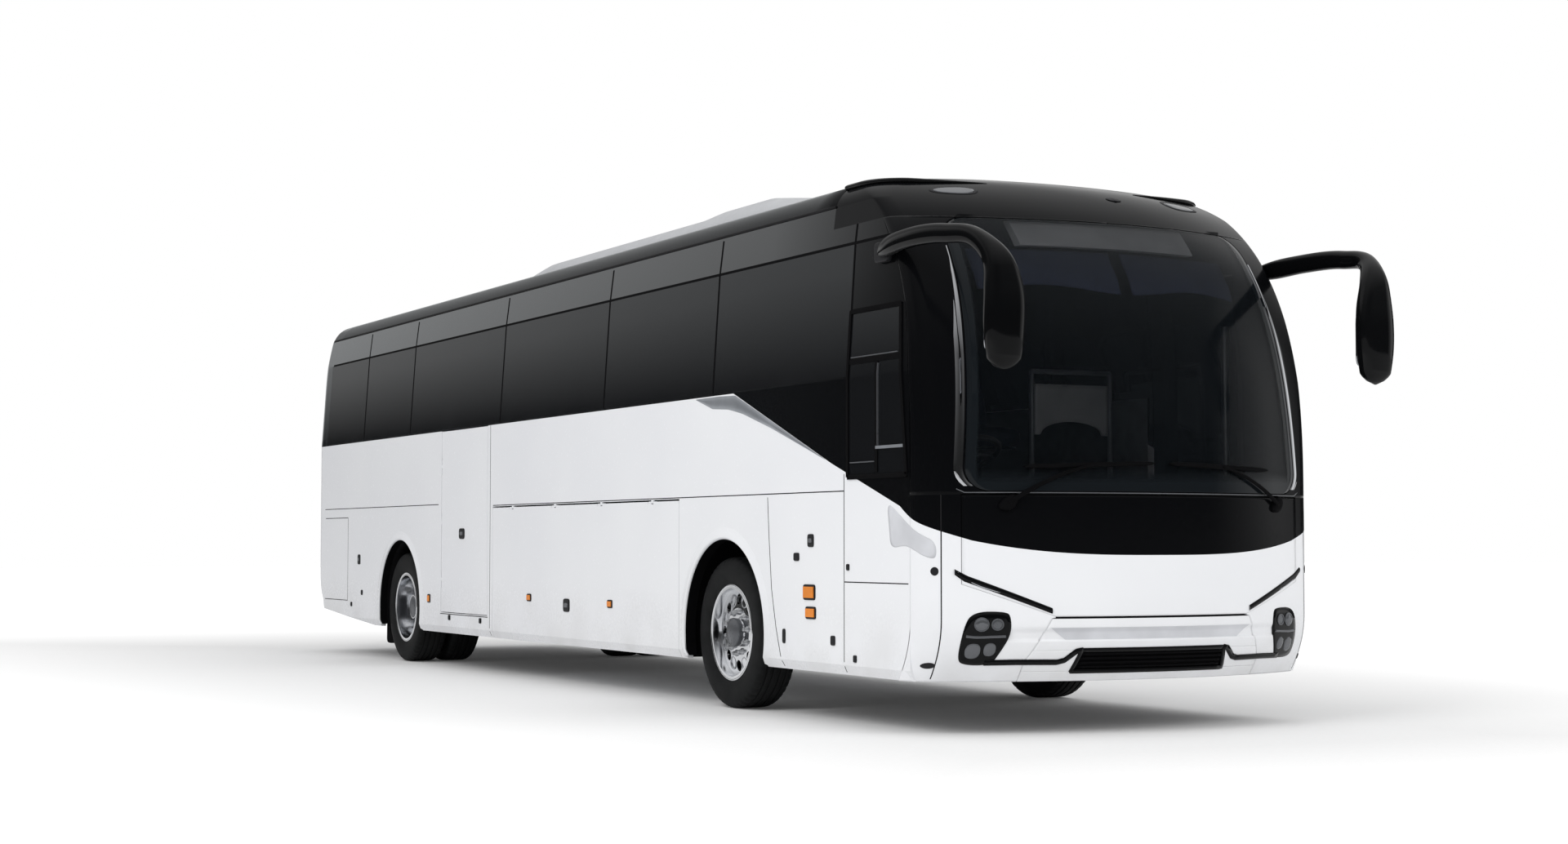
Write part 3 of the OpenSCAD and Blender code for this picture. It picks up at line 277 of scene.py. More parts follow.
inkBlack = (0.0030, 0.0032, 0.0038)
finishes = {
    "paint": coachPaint(),
    "black": plainFinish("glossBlack", inkBlack, 0.09, scale=18, depth=0.01, spread=0.06, ior=1.14),
    "roofBlack": plainFinish("roofBlack", inkBlack, 0.12, scale=18, depth=0.01, spread=0.06, ior=1.14,
                             coat=0.35, tint=skyTint),
    "podGrey": plainFinish("podGrey", (0.52, 0.53, 0.55), 0.42, scale=120, depth=0.03, shift=0.04),
    "bright": plainFinish("brightTrim", (0.50, 0.51, 0.53), 0.03, metal=1.0, scale=60, depth=0.0,
                          spread=0.02, shift=0.05),
    "silver": plainFinish("silverTrim", (0.34, 0.36, 0.39), 0.28, metal=0.6, scale=70),
    "chassis": plainFinish("chassisPaint", (0.022, 0.022, 0.024), 0.55, scale=55, depth=0.15),
    "cast": plainFinish("castIron", (0.05, 0.05, 0.052), 0.62, metal=0.5, scale=140, depth=0.3),
    "steel": plainFinish("brushedSteel", (0.50, 0.51, 0.53), 0.32, metal=1.0, scale=90, depth=0.05),
    "alloy": brushedAlloy(),
    "tyre": plainFinish("tyreRubber", (0.0085, 0.009, 0.0095), 0.62, scale=160, depth=0.18, shift=0.25,
                        ior=1.25),
    "rubber": plainFinish("softRubber", (0.012, 0.012, 0.013), 0.65, scale=110, depth=0.12, ior=1.25),
    "plastic": plainFinish("blackPlastic", (0.016, 0.016, 0.018), 0.48, scale=260, depth=0.12, ior=1.28),
    "gloss": plainFinish("pianoBlack", (0.0030, 0.0032, 0.0036), 0.05, scale=14, depth=0.01, spread=0.04,
                         ior=1.24),
    "greyPlastic": plainFinish("greyPlastic", (0.13, 0.135, 0.145), 0.55, scale=200, depth=0.10),
    "floor": plainFinish("floorVinyl", (0.10, 0.10, 0.11), 0.6, scale=150, depth=0.1, shift=0.25),
    # the sign gives off a little light though it is no lamp: painted glow that brightens it behind the
    # windscreen
    "sign": plainFinish("signGreyPaintedGlow", (0.40, 0.41, 0.43), 0.38, scale=90, depth=0.02, glow=0.06),
    "amber": plainFinish("amberLens", (0.80, 0.24, 0.015), 0.16, scale=60, depth=0.08),
    "red": plainFinish("redLens", (0.36, 0.008, 0.010), 0.14, scale=60, depth=0.08),
    "clearLens": plainFinish("clearLens", (0.62, 0.64, 0.68), 0.12, scale=50, depth=0.05),
    "mirror": plainFinish("mirrorGlass", (0.55, 0.57, 0.60), 0.03, metal=1.0, scale=10, depth=0.0,
                          spread=0.02, shift=0.03),
    "tinted": glassFinish("tintedGlass", (0.006, 0.0065, 0.0075, 1), 0.93),
    "screen": screenFinish("screenGlass", (0.008, 0.010, 0.012, 1), 0.24),
    "cloth": clothFinish("seatCloth", (0.020, 0.026, 0.05, 1)),
    "paleGrey": plainFinish("paleGrey", (0.36, 0.37, 0.39), 0.34, scale=80, depth=0.03),
    "smoked": plainFinish("smokedLens", (0.13, 0.135, 0.145), 0.08, metal=0.5, scale=40, depth=0.05),
    "darkTrim": plainFinish("darkTrim", (0.115, 0.120, 0.130), 0.25, metal=0.4, scale=60),
    "paleGreyAndPaintedShade": plainFinish("paleGreyAndPaintedShade", (0.60, 0.61, 0.64), 0.35, scale=50, depth=0.02, ior=1.25),
    # light grey: painted shade in the bumper's recessed band, and the partition's own colour
    "deepBlack": plainFinish("deepBlack", (0.0035, 0.0035, 0.004), 0.55, scale=120, depth=0.10, ior=1.10),
    "seam": plainFinish("seamShadow", (0.014, 0.014, 0.015), 0.7, scale=100, depth=0.02, ior=1.15),
}
nodeFinish = {
    "paint": "skirt_right skirt_left side_frame_right side_frame_left luggage_door_right luggage_door_left "
             "battery_bay_door motor_bay_door rear_wall",
    "black": "passenger_door", "podGrey": "roof_pod",
    "chassis": "chassis_frame battery_pack drive_motor door_arm",
    "cast": "front_axle rear_axle knuckle_right knuckle_left", "steel": "tie_rod door_post luggage_bay",
    "alloy": "front_rim_right front_rim_left rear_rims_right rear_rims_left", "rubber": "air_springs",
    "plastic": "dashboard steering_wheel", "deepBlack": "front_grille", "floor": "floor_deck entry_steps",
    "sign": "sign_box", "amber": "marker_lamps bay_markers_right bay_markers_left", "red": "tail_lamps",
    "tinted": "side_glass_right side_glass_left rear_window passenger_door_glass",
}
for finish, names in nodeFinish.items():
    for name in names.split():
        nodes[name].data.materials.clear()
        nodes[name].data.materials.append(finishes[finish])
print("materials:", len(finishes))


# meshes from numpy grids; every piece sits at the origin
def gridFaces(rows, columns, offset=0, closeRows=False, closeColumns=False, flip=False):
    # one quad for each cell of the grid, wrapped round where a direction is closed
    i = np.arange(rows if closeRows else rows - 1)[:, None]
    j = np.arange(columns if closeColumns else columns - 1)[None, :]
    a = i * columns + j
    b = i * columns + (j + 1) % columns
    c = ((i + 1) % rows) * columns + (j + 1) % columns
    d = ((i + 1) % rows) * columns + j
    faces = np.stack([a, b, c, d], -1).reshape(-1, 4) + offset
    return faces[:, ::-1] if flip else faces


class Shell:
    # gathers grid patches into one mesh
    def __init__(self):
        self.points = []
        self.faces = []
        self.count = 0

    def patch(self, grid, closeRows=False, closeColumns=False, flip=False):
        # points and faces of one grid, numbered on from those before
        grid = np.asarray(grid, float)
        rows, columns = grid.shape[:2]
        self.faces.append(gridFaces(rows, columns, self.count, closeRows, closeColumns, flip))
        self.points.append(grid.reshape(-1, 3))
        self.count += rows * columns
        return self

    def piece(self, name, finish, body="body", slot=None, replaced=(), thick=0.0, merge=0.0, smooth=True,
              closed=False):
        # mesh with its finish and modifiers, then its body and the nodes it stands for; the slot is not used
        mesh = bpy.data.meshes.new(name)
        mesh.from_pydata(np.concatenate(self.points).tolist(), [], np.concatenate(self.faces).tolist())
        mesh.validate()
        if closed:  # poles welded and faces turned outward
            work = bmesh.new()
            work.from_mesh(mesh)
            bmesh.ops.remove_doubles(work, verts=work.verts, dist=1e-6)
            bmesh.ops.recalc_face_normals(work, faces=work.faces)
            work.to_mesh(mesh)
            work.free()
        mesh.polygons.foreach_set("use_smooth", np.full(len(mesh.polygons), smooth))
        mesh.materials.append(finishes[finish])
        made = bpy.data.objects.new(name, mesh)
        bpy.context.scene.collection.objects.link(made)
        if merge:
            weld = made.modifiers.new("weld", "WELD")
            weld.merge_threshold = merge
        if thick:
            wall = made.modifiers.new("wall", "SOLIDIFY")
            wall.thickness = thick
            wall.offset = -1
            wall.use_even_offset = False
        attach(made, body)
        if replaced:
            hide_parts(*replaced)
        return made


# body surface: half width, nose rake and corner radius by height, as the solids have them
roofSet = {"edgeIn": 0.185, "edgeDrop": 0.040, "edgeTurn": math.radians(68), "crownTurn": math.radians(9)}
gutterP = np.array([halfW - coach["leanGutter"], gutterZ])
crownP = np.array([gutterP[0] - roofSet["edgeIn"], roofZ - roofSet["edgeDrop"]])


def arcCentre(p, q, turn):
    # centre and radius of the arc from p to q that swells to the left
    chord = q - p
    long = np.hypot(*chord)
    radius = long / (2 * math.sin(turn / 2))
    across = np.array([-chord[1], chord[0]]) / long
    return (p + q) / 2 - across * radius * math.cos(turn / 2), radius


edgeC, edgeR = arcCentre(crownP, gutterP, roofSet["edgeTurn"])
crownC, crownR = arcCentre(crownP * [-1, 1], crownP, roofSet["crownTurn"])


def sideY(z):
    # half width at a height: straight wall with two leans, then the roof edge arc, then the crown arc
    wall = np.interp(z, [0, coach["beltZ"], coach["glassTopZ"], gutterZ],
                     [halfW, halfW, halfW - coach["leanGlass"], gutterP[0]])
    edge = edgeC[0] + np.sqrt(np.maximum(0, edgeR ** 2 - (z - edgeC[1]) ** 2))
    crown = np.sqrt(np.maximum(0, crownR ** 2 - (z - crownC[1]) ** 2))
    return np.where(z <= gutterZ, wall, np.where(z < crownP[1], edge, crown))


noseSet = {"chinZ": 0.62, "chinRun": 0.13, "noseZ": 1.0, "noseRun": 1.3}


def noseBack(z):
    # how far the front lies back: square law at the chin, upright nose, cubic rake up to the roof
    under = np.maximum(0, noseSet["chinZ"] - z) / (noseSet["chinZ"] - coach["skirtZ"])
    share = np.clip((z - noseSet["noseZ"]) / (roofZ - noseSet["noseZ"]), 0, 1)
    return noseSet["chinRun"] * under ** 2 + noseSet["noseRun"] * (1 - np.sqrt(np.maximum(0, 1 - share ** 3)))


def bendR(z):
    # corner radius: wide at the bumper, tight along the pillars, wide again at the roof
    tight = np.interp(z, [coach["screenZ"], coach["headerZ"] - coach["pillarRun"], gutterZ, roofZ],
                      [coach["cornerR"], coach["pillarR"], coach["pillarR"], coach["domeR"]])
    return np.minimum(tight, sideY(z) / 2)


def bendPlace(z):
    # middle of the front arc, corner centre, the angle where the two arcs meet and the corner radius
    radius = bendR(z)
    cy = sideY(z) - radius
    mx = frontX - noseBack(z) - coach["planR"]
    cx = mx + np.sqrt((coach["planR"] - radius) ** 2 - cy ** 2)
    return mx, cx, cy, np.arctan2(cy, cx - mx), radius


def frontAt(y, z, inset=0.0):
    # point of the front surface at a half width and a height: front arc first, then the corner arc
    y, z = np.broadcast_arrays(np.asarray(y, float), np.asarray(z, float))
    mx, cx, cy, meet, radius = bendPlace(z)
    away = np.abs(y)
    onArc = away <= coach["planR"] * np.sin(meet)
    arcAngle = np.arcsin(np.clip(away / coach["planR"], -1, 1))
    bendAngle = np.arcsin(np.clip((away - cy) / np.maximum(radius, 1e-6), -1, 1))
    wide, tight = coach["planR"] - inset, radius - inset
    px = np.where(onArc, mx + wide * np.cos(arcAngle), cx + tight * np.cos(bendAngle))
    py = np.where(onArc, wide * np.sin(arcAngle), cy + tight * np.sin(bendAngle))
    return np.stack([px, np.copysign(py, y), z + np.zeros_like(px)], -1)


def cornerAt(share, z):
    # share 0 to 1 along the corner on the left, from where the arcs meet round to the side wall
    share, z = np.broadcast_arrays(np.asarray(share, float), np.asarray(z, float))
    mx, cx, cy, meet, radius = bendPlace(z)
    angle = meet + (math.pi / 2 - meet) * share
    return np.stack([cx + radius * np.cos(angle), cy + radius * np.sin(angle), z + 0 * angle], -1)


def sideFace(z):
    # side wall with the tuck along its lower edge
    high = coach["tuckHigh"]
    return sideY(z) - coach["tuck"] * np.clip((coach["skirtZ"] + high - z) / high, 0, 1)


def wallY(z):
    # the same at a single height, as a plain number
    return float(sideFace(np.array(z)))


def mirrored(grid):
    # y turned round
    return grid * np.array([1, -1, 1])


def meetAt(z):
    # half width where the front arc meets the corner arc
    return coach["planR"] * np.sin(bendPlace(z)[3])


def rowOf(low, high, count):
    # even steps as one row of a grid
    return np.linspace(low, high, count)[None, :]


def columnOf(low, high, count):
    # even steps as one column of a grid
    return np.linspace(low, high, count)[:, None]


# windscreen with rounded corners, and the pillars and rails round it
screenSet = {
    "low": (1.085, 1.290), "top": (0.985, 2.790), "cornerR": 0.13, "cornerSweep": 1.57, "gap": 0.004,
    "columns": 72, "rows": 64, "cornerRows": 12, "seamStep": 0.006,
}
lowEdge, topEdge, gap = screenSet["low"][1], screenSet["top"][1], screenSet["gap"]
seamBack = np.array([screenSet["seamStep"], 0, 0])


def screenHalf(z, grow=0.0):
    # half width of the glass at a height: a straight slope, less the corner circle near either end
    (lowY, lowZ), (topY, topZ) = screenSet["low"], screenSet["top"]
    base = lowY + (topY - lowY) * (z - lowZ) / (topZ - lowZ)
    r = screenSet["cornerR"]
    near = np.clip(r - np.minimum(z - lowZ + grow, topZ + grow - z), 0, r)
    return base + grow - (r - np.sqrt(np.maximum(0, r * r - near * near)))


cornerRun = np.linspace(0, screenSet["cornerSweep"], screenSet["cornerRows"])
cornerRun = screenSet["cornerR"] * (1 - np.cos(cornerRun))
screenZ = np.linspace(lowEdge, topEdge, screenSet["rows"])
screenZ = np.unique(np.concatenate([screenZ, lowEdge + cornerRun, topEdge - cornerRun]))[:, None]
screen = Shell().patch(frontAt(rowOf(-1, 1, screenSet["columns"]) * screenHalf(screenZ), screenZ))
screen.piece("windscreen_glass", "screen", slot="clear_glass", replaced=["windscreen"], thick=0.010)

maskZ = [np.linspace(coach["screenZ"], coach["headerZ"], 70), screenZ[:, 0] - gap, screenZ[:, 0] + gap]
maskZ = np.unique(np.concatenate(maskZ))
maskZ = maskZ[(maskZ >= coach["screenZ"]) & (maskZ <= coach["headerZ"])][:, None]
mask = Shell()
inside = (maskZ > lowEdge - gap) & (maskZ < topEdge + gap)
rimY = np.where(inside, screenHalf(np.clip(maskZ, lowEdge - gap, topEdge + gap), gap), 0.0)
rimY = np.minimum(rimY, meetAt(maskZ) * 0.999)
toMeet = rimY + (meetAt(maskZ) - rimY) * rowOf(0, 1, 30)
pillar = np.concatenate([frontAt(toMeet, maskZ), cornerAt(rowOf(0.02, 1, 22), maskZ)], 1)
pillar = np.concatenate([pillar, pillar[:, -1:, :] - seamBack], 1)
mask.patch(pillar).patch(mirrored(pillar), flip=True)

# lower front: corner panels, lid and bumper with open seams between them, over a dark backing sheet that is
# painted shade for the gaps
noseSeams = {
    "gap": 0.003, "lidLow": (0.62, 0.63), "lidStep": (1.095, 0.80), "lidTop": 1.266, "lidDrop": 0.006,
    "bumperTop": (0.64, 0.618), "bumperLow": (0.76, 0.385), "keptRows": (0.385, 0.618, 0.624, 0.63, 0.80),
    "bandLow": 0.500, "bandHigh": 0.575, "bandDepth": 0.014, "lowSlope": 0.012, "highSlope": 0.030,
    "fadeFrom": 0.98, "fadeRun": 0.25,
}


def lidHalf(z):
    # half width of the lid: opening out to the step, then upright
    (lowY, lowZ), (stepY, stepZ) = noseSeams["lidLow"], noseSeams["lidStep"]
    return np.interp(z, [lowZ, stepZ, noseSeams["lidTop"]], [lowY, stepY, stepY])


def bumperHalf(z):
    # half width of the bumper: one straight slope
    (lowY, lowZ), (topY, topZ) = noseSeams["bumperLow"], noseSeams["bumperTop"]
    return np.interp(z, [lowZ, topZ], [lowY, topY])


def innerEdge(z):
    # inner edge of the corner panel: bumper cut, then the lid's lower and side edge
    cut = np.where(z < noseSeams["lidLow"][1] - noseSeams["lidDrop"], bumperHalf(z), lidHalf(z))
    return cut + noseSeams["gap"]


def bandRelief(y, z):
    # shallow recess across the bumper, smooth at both edges, fading towards the corners
    up = np.clip((z - noseSeams["bandLow"]) / noseSeams["lowSlope"], 0, 1)
    up = up * np.clip((noseSeams["bandHigh"] - z) / noseSeams["highSlope"], 0, 1)
    fade = np.clip((noseSeams["fadeFrom"] - np.abs(y)) / noseSeams["fadeRun"], 0, 1)
    return noseSeams["bandDepth"] * up * up * (3 - 2 * up) * fade


lowZ = np.concatenate([np.linspace(coach["skirtZ"], coach["screenZ"], 110), noseSeams["keptRows"]])
lowZ = np.unique(lowZ)[:, None]
edgeY = np.minimum(innerEdge(lowZ), meetAt(lowZ))
toMeet = edgeY + (meetAt(lowZ) - edgeY) * rowOf(0, 1, 40)
bent = cornerAt(rowOf(0.02, 1, 22), lowZ)
corner = [frontAt(toMeet, lowZ, bandRelief(toMeet, lowZ)), bent, bent[:, -1:, :] - seamBack]
corner = np.concatenate(corner, 1)
mask.patch(corner).patch(mirrored(corner), flip=True)
mask.piece("front_mask_panel", "paint", slot="body_white", replaced=["front_mask"], thick=0.02)

lidZ = np.linspace(noseSeams["lidLow"][1], noseSeams["lidTop"], 60)
lidZ = np.unique(np.concatenate([lidZ, [noseSeams["lidStep"][1]]]))[:, None]
lid = Shell().patch(frontAt(rowOf(-1, 1, 90) * lidHalf(lidZ), lidZ))
lid.piece("front_lid_panel", "paint", slot="body_white", replaced=["front_lid"], thick=0.02)

grilleSet = {
    "low": (0.484, 0.338), "high": (0.454, 0.450), "bandWide": 0.030, "frameWide": 0.022,
    "band": [(0.96, 0.388), (0.80, 0.390), (0.585, 0.388), (0.545, 0.398), (0.490, 0.446), (0.455, 0.452)],
    "frame": [(-0.462, 0.452), (0.462, 0.452), (0.492, 0.336), (-0.492, 0.336), (-0.462, 0.452)],
    "slats": (0.362, 0.432, 4), "slatHalf": 0.455,
}
(openLow, openLowZ), (openHigh, openHighZ) = grilleSet["low"], grilleSet["high"]
bumper = Shell()
for z0, z1, rows in ((coach["skirtZ"], openLowZ, 14), (openHighZ, noseSeams["bumperTop"][1], 40)):
    bumperZ = columnOf(z0, z1, rows)
    bumperY = rowOf(-1, 1, 110) * bumperHalf(bumperZ)
    bumper.patch(frontAt(bumperY, bumperZ, bandRelief(bumperY, bumperZ)))
bumperZ = columnOf(openLowZ, openHighZ, 24)
opening = np.interp(bumperZ, [openLowZ, openHighZ], [openLow, openHigh])
besideY = opening + (bumperHalf(bumperZ) - opening) * rowOf(0, 1, 24)
bumper.patch(frontAt(besideY, bumperZ)).patch(frontAt(-besideY, bumperZ), flip=True)
bumper.piece("front_bumper_panel", "paint", slot="body_white", replaced=["front_bumper"], thick=0.02)

# near-black sheet behind the seams: painted shade seen through the gaps
backSet = {"half": 1.12, "inset": 0.024, "low": coach["skirtZ"] + 0.01, "high": coach["screenZ"] + 0.03}
backZ = columnOf(backSet["low"], backSet["high"], 50)
backing = Shell().patch(frontAt(rowOf(-1, 1, 80) * backSet["half"], backZ, backSet["inset"]))
backing.piece("nose_seam_shade", "seam", slot="trim_black", thick=0.004)


# roof: section of edge and crown arcs along the body, then the front dome closing to the crown line
def roofHalf():
    # crown arc, then edge arc, from the middle outward
    crownA = np.linspace(math.pi / 2, math.pi / 2 - roofSet["crownTurn"] / 2, 14)
    crown = crownC + crownR * np.stack([np.cos(crownA), np.sin(crownA)], -1)
    startA = math.atan2(crownP[1] - edgeC[1], crownP[0] - edgeC[0])
    edgeA = np.linspace(startA, startA - roofSet["edgeTurn"], 26)[1:]
    edge = edgeC + edgeR * np.stack([np.cos(edgeA), np.sin(edgeA)], -1)
    return np.concatenate([crown, edge])


section = roofHalf()
section = np.concatenate([section[::-1] * [-1, 1], section[1:]])
runX = columnOf(coach["rearSplit"], coach["roofSplit"], 40)
roofGrid = np.stack([runX + 0 * section[:, 0], section[:, 0] + 0 * runX, section[:, 1] + 0 * runX], -1)
roofSkin = Shell().patch(roofGrid, flip=True)
roofSkin.piece("roof_skin", "roofBlack", slot="body_black", replaced=["roof"], thick=0.05)

edgeRise = np.sin(np.linspace(0, 1, 60) * math.pi / 2)  # rows up the roof edge, closer towards its top
domeZ = [np.linspace(coach["headerZ"], gutterZ, 14)[:-1], gutterZ + (crownP[1] - gutterZ) * edgeRise,
         crownP[1] + (roofZ - crownP[1]) * np.linspace(0.08, 1, 16)]
domeZ = np.concatenate(domeZ)[:, None]
toMeet = meetAt(domeZ) * rowOf(0, 1, 26)
domeHalf = np.concatenate([frontAt(toMeet, domeZ), cornerAt(rowOf(0.04, 1, 16), domeZ)], 1)
last = domeHalf[:, -1:, :]
run = np.array([coach["roofSplit"], 0, 0]) - last * [1, 0, 0]
domeHalf = np.concatenate([domeHalf, last + run * np.linspace(0.08, 1, 14)[None, :, None]], 1)
domeShell = Shell().patch(domeHalf).patch(mirrored(domeHalf), flip=True)
domeShell.piece("header_skin", "black", slot="body_black", replaced=["front_header"], merge=0.0005)

# rear: corners round the flat plate, rounded over the roof and under the tail
tailSet = {
    "tailZ": gutterZ - 0.427, "tailRun": 0.33, "room": 0.35, "low": coach["skirtZ"] + 0.43,
    "cut": coach["skirtZ"] + 0.115, "cornerR": 0.24, "plateHalf": 1.0,
}


def tailBack(z):
    # how far the tail lies forward: quarter ellipses under the lower and over the upper height
    low = np.clip((tailSet["low"] - z) / (tailSet["low"] - tailSet["cut"]), 0, 1)
    high = np.clip((z - tailSet["tailZ"]) / (roofZ - tailSet["tailZ"]), 0, 1)
    return tailSet["tailRun"] * (2 - np.sqrt(1 - low ** 2) - np.sqrt(np.maximum(0, 1 - high ** 2)))


def tailX(z):
    # place of the tail at a single height, as a plain number
    return rearX + float(tailBack(z))


def tailHalf(z, start):
    # left half outline at each height: from a start half width over the flat, the corner and the side
    back = tailBack(z)
    radius = np.minimum(tailSet["cornerR"], np.minimum(tailSet["room"] - back, sideY(z) * 0.9))
    cx, cy = rearX + back + radius, sideY(z) - radius
    first = np.minimum(start, cy)
    flatY = first + (cy - first) * rowOf(0, 1, 14)
    flat = np.stack([cx - radius + 0 * flatY, flatY, z + 0 * flatY], -1)
    angle = rowOf(0.06, 1, 18) * math.pi / 2
    bend = np.stack([cx - radius * np.cos(angle), cy + radius * np.sin(angle), z + 0 * angle], -1)
    share = rowOf(0.1, 1, 8)
    side = np.stack([cx + (coach["rearSplit"] - cx) * share, sideY(z) + 0 * share, z + 0 * share], -1)
    return np.concatenate([flat, bend, side], 1)


rearSkin = Shell()
underRise = 1 - np.cos(np.linspace(0, 1, 14) * math.pi / 2)
topRows = [np.linspace(tailSet["tailZ"], gutterZ, 24), gutterZ + (crownP[1] - gutterZ) * edgeRise[2::2],
           crownP[1] + (roofZ - crownP[1]) * np.linspace(0.1, 1, 12)]
bands = [(tailSet["cut"] + (tailSet["low"] - tailSet["cut"]) * underRise, 0.0),
         (np.linspace(tailSet["low"], tailSet["tailZ"], 40), tailSet["plateHalf"]),
         (np.concatenate(topRows), 0.0)]
for heights, start in bands:
    skin = tailHalf(heights[:, None], start)
    rearSkin.patch(skin, flip=True).patch(mirrored(skin))
rearSkin.piece("rear_corner_skin", "paint", slot="body_white", replaced=["rear_surround"], merge=0.0005)
print("body shells done")


# helpers for swept, turned and rounded forms
def lengthsOf(points):
    # length run at each point of a line
    return np.concatenate([[0], np.cumsum(np.linalg.norm(np.diff(points, axis=0), axis=1))])


def smoothPath(points, count):
    # cubic through the points, with slopes from their neighbours
    points = np.asarray(points, float)
    run = lengthsOf(points)
    slope = np.gradient(points, run, axis=0)
    t = np.linspace(0, run[-1], count)
    k = np.clip(np.searchsorted(run, t, side="right") - 1, 0, len(points) - 2)
    h = (run[k + 1] - run[k])[:, None]
    s = (t - run[k])[:, None] / h
    return ((2 * s ** 3 - 3 * s ** 2 + 1) * points[k] + (s ** 3 - 2 * s ** 2 + s) * h * slope[k]
            + (3 * s ** 2 - 2 * s ** 3) * points[k + 1] + (s ** 3 - s ** 2) * h * slope[k + 1])


def resample(points, step=0.03):
    # the same line with points at an even step, its corners kept
    points = np.asarray(points, float)
    run = lengthsOf(points)
    t = np.unique(np.concatenate([np.linspace(0, run[-1], max(2, int(run[-1] / step) + 1)), run]))
    return np.stack([np.interp(t, run, c) for c in points.T], -1)


def capped(grid):
    # both ends drawn to their middle point
    first, last = grid[:1].mean(1, keepdims=True), grid[-1:].mean(1, keepdims=True)
    return np.concatenate([np.repeat(first, grid.shape[1], 1), grid, np.repeat(last, grid.shape[1], 1)])


def power(value, exponent):
    # power of the size, with the sign kept
    return np.sign(value) * np.abs(value) ** exponent


def smooth(t):
    # from 0 to 1 with level ends: three squares less two cubes
    t = np.clip(t, 0, 1)
    return t * t * (3 - 2 * t)


def turnOf(count):
    # even angles round one turn
    return np.arange(count) * 2 * math.pi / count


def sweptTube(path, wide, tall, around=20, square=2.0, level=(0, 1, 0)):
    # superellipse carried along a path: its width lies along the level direction, its height across both
    path = np.asarray(path, float)
    way = np.gradient(path, axis=0)
    way /= np.linalg.norm(way, axis=1, keepdims=True)
    flat = np.asarray(level, float) - way * (way @ np.asarray(level, float))[:, None]
    flat /= np.linalg.norm(flat, axis=1, keepdims=True)
    rise = np.cross(way, flat)
    angle = turnOf(around)
    wide, tall = np.broadcast_to(wide, len(path)), np.broadcast_to(tall, len(path))
    c, s = power(np.cos(angle), 2 / square), power(np.sin(angle), 2 / square)
    out = flat[:, None, :] * (wide[:, None] * c)[..., None]
    up = rise[:, None, :] * (tall[:, None] * s)[..., None]
    return capped(path[:, None, :] + out + up)


def lathe(profile, centre, side=1, around=64):
    # radius and offset along the axle, turned about the Y axis
    profile = np.asarray(profile, float)
    angle = turnOf(around)
    return np.stack([centre[0] + profile[:, :1] * np.cos(angle), centre[1] + side * profile[:, 1:] + 0 * angle,
                     centre[2] + profile[:, :1] * np.sin(angle)], -1)


def softBox(centre, size, square=6.0, rows=12, around=24):
    # superellipsoid: signed powers of the sines and cosines of two angles
    lat = columnOf(-math.pi / 2, math.pi / 2, rows)
    lon = turnOf(around)[None, :]
    e = 2 / square
    ring = power(np.cos(lat), e)
    unit = [ring * power(np.cos(lon), e), ring * power(np.sin(lon), e), power(np.sin(lat), e) + 0 * lon]
    return np.asarray(centre, float) + np.asarray(size, float) / 2 * np.stack(unit, -1)


def rounded(points, rounds=3):
    # corner cutting: each edge keeps its middle half
    p = np.asarray(points, float)
    for step in range(rounds):
        q = np.roll(p, -1, 0)
        p = np.stack([p * 0.75 + q * 0.25, p * 0.25 + q * 0.75], 1).reshape(-1, 2)
    return p


angles = turnOf(48)


def ovalAt(y, z, wide, tall):
    # ellipse of the given width and height
    return np.stack([y + np.cos(angles) * wide / 2, z + np.sin(angles) * tall / 2], -1)


def beadLine(points, width, lift, depth):
    # flat bead along a line in a plane: offsets across it, and heights above the surface
    line = resample(points)
    way = np.gradient(line, axis=0)
    way /= np.linalg.norm(way, axis=1, keepdims=True)
    across = np.stack([-way[:, 1], way[:, 0]], -1)
    place = np.array([-0.5, -0.5, 0.5, 0.5]) * width
    height = np.array([-depth, lift, lift, -depth])
    flat = line[:, None, :] + across[:, None, :] * place[None, :, None]
    return flat, np.broadcast_to(height, flat.shape[:2])


def sideStrip(points, width, side, lift=0.0012, depth=0.004):
    # bead on a side wall, its line given as length ahead of the front axle and height
    flat, height = beadLine(points, width, lift, depth)
    x, z = flat[..., 0] + frontAxle, flat[..., 1]
    return capped(np.stack([x, side * (sideFace(z) + height), z], -1))


def frontStrip(points, width, lift=0.0012, depth=0.004):
    # bead on the front surface, its line given as half width and height
    flat, height = beadLine(points, width, lift, depth)
    return capped(frontAt(flat[..., 0], flat[..., 1], -height))


def frontBlob(outline, lift, edge=0.004, rings=7):
    # outline filled from its middle on the front surface, crowned, its edge drawn in
    share = np.concatenate([np.linspace(0, 1, rings), [1.0]])[:, None]
    middle = outline.mean(0)
    flat = middle + share[..., None] * (outline - middle)[None]
    rise = np.where(np.arange(rings + 1)[:, None] == rings, -edge, lift * (1 - 0.5 * share ** 4))
    return frontAt(flat[..., 0], flat[..., 1], -np.broadcast_to(rise, flat.shape[:2]))


def frontTube(path, lift, wide, tall, around=10, level=(0, 0, 1), **rest):
    # tube along a path on the front surface, lifted off it
    return sweptTube(frontAt(path[:, 0], path[:, 1], -lift), wide, tall, around, level=level, **rest)


def tubePiece(name, finish, grids, **rest):
    # one piece of several closed grids
    shell = Shell()
    for grid in grids:
        shell.patch(grid, closeColumns=True)
    return shell.piece(name, finish, closed=True, **rest)


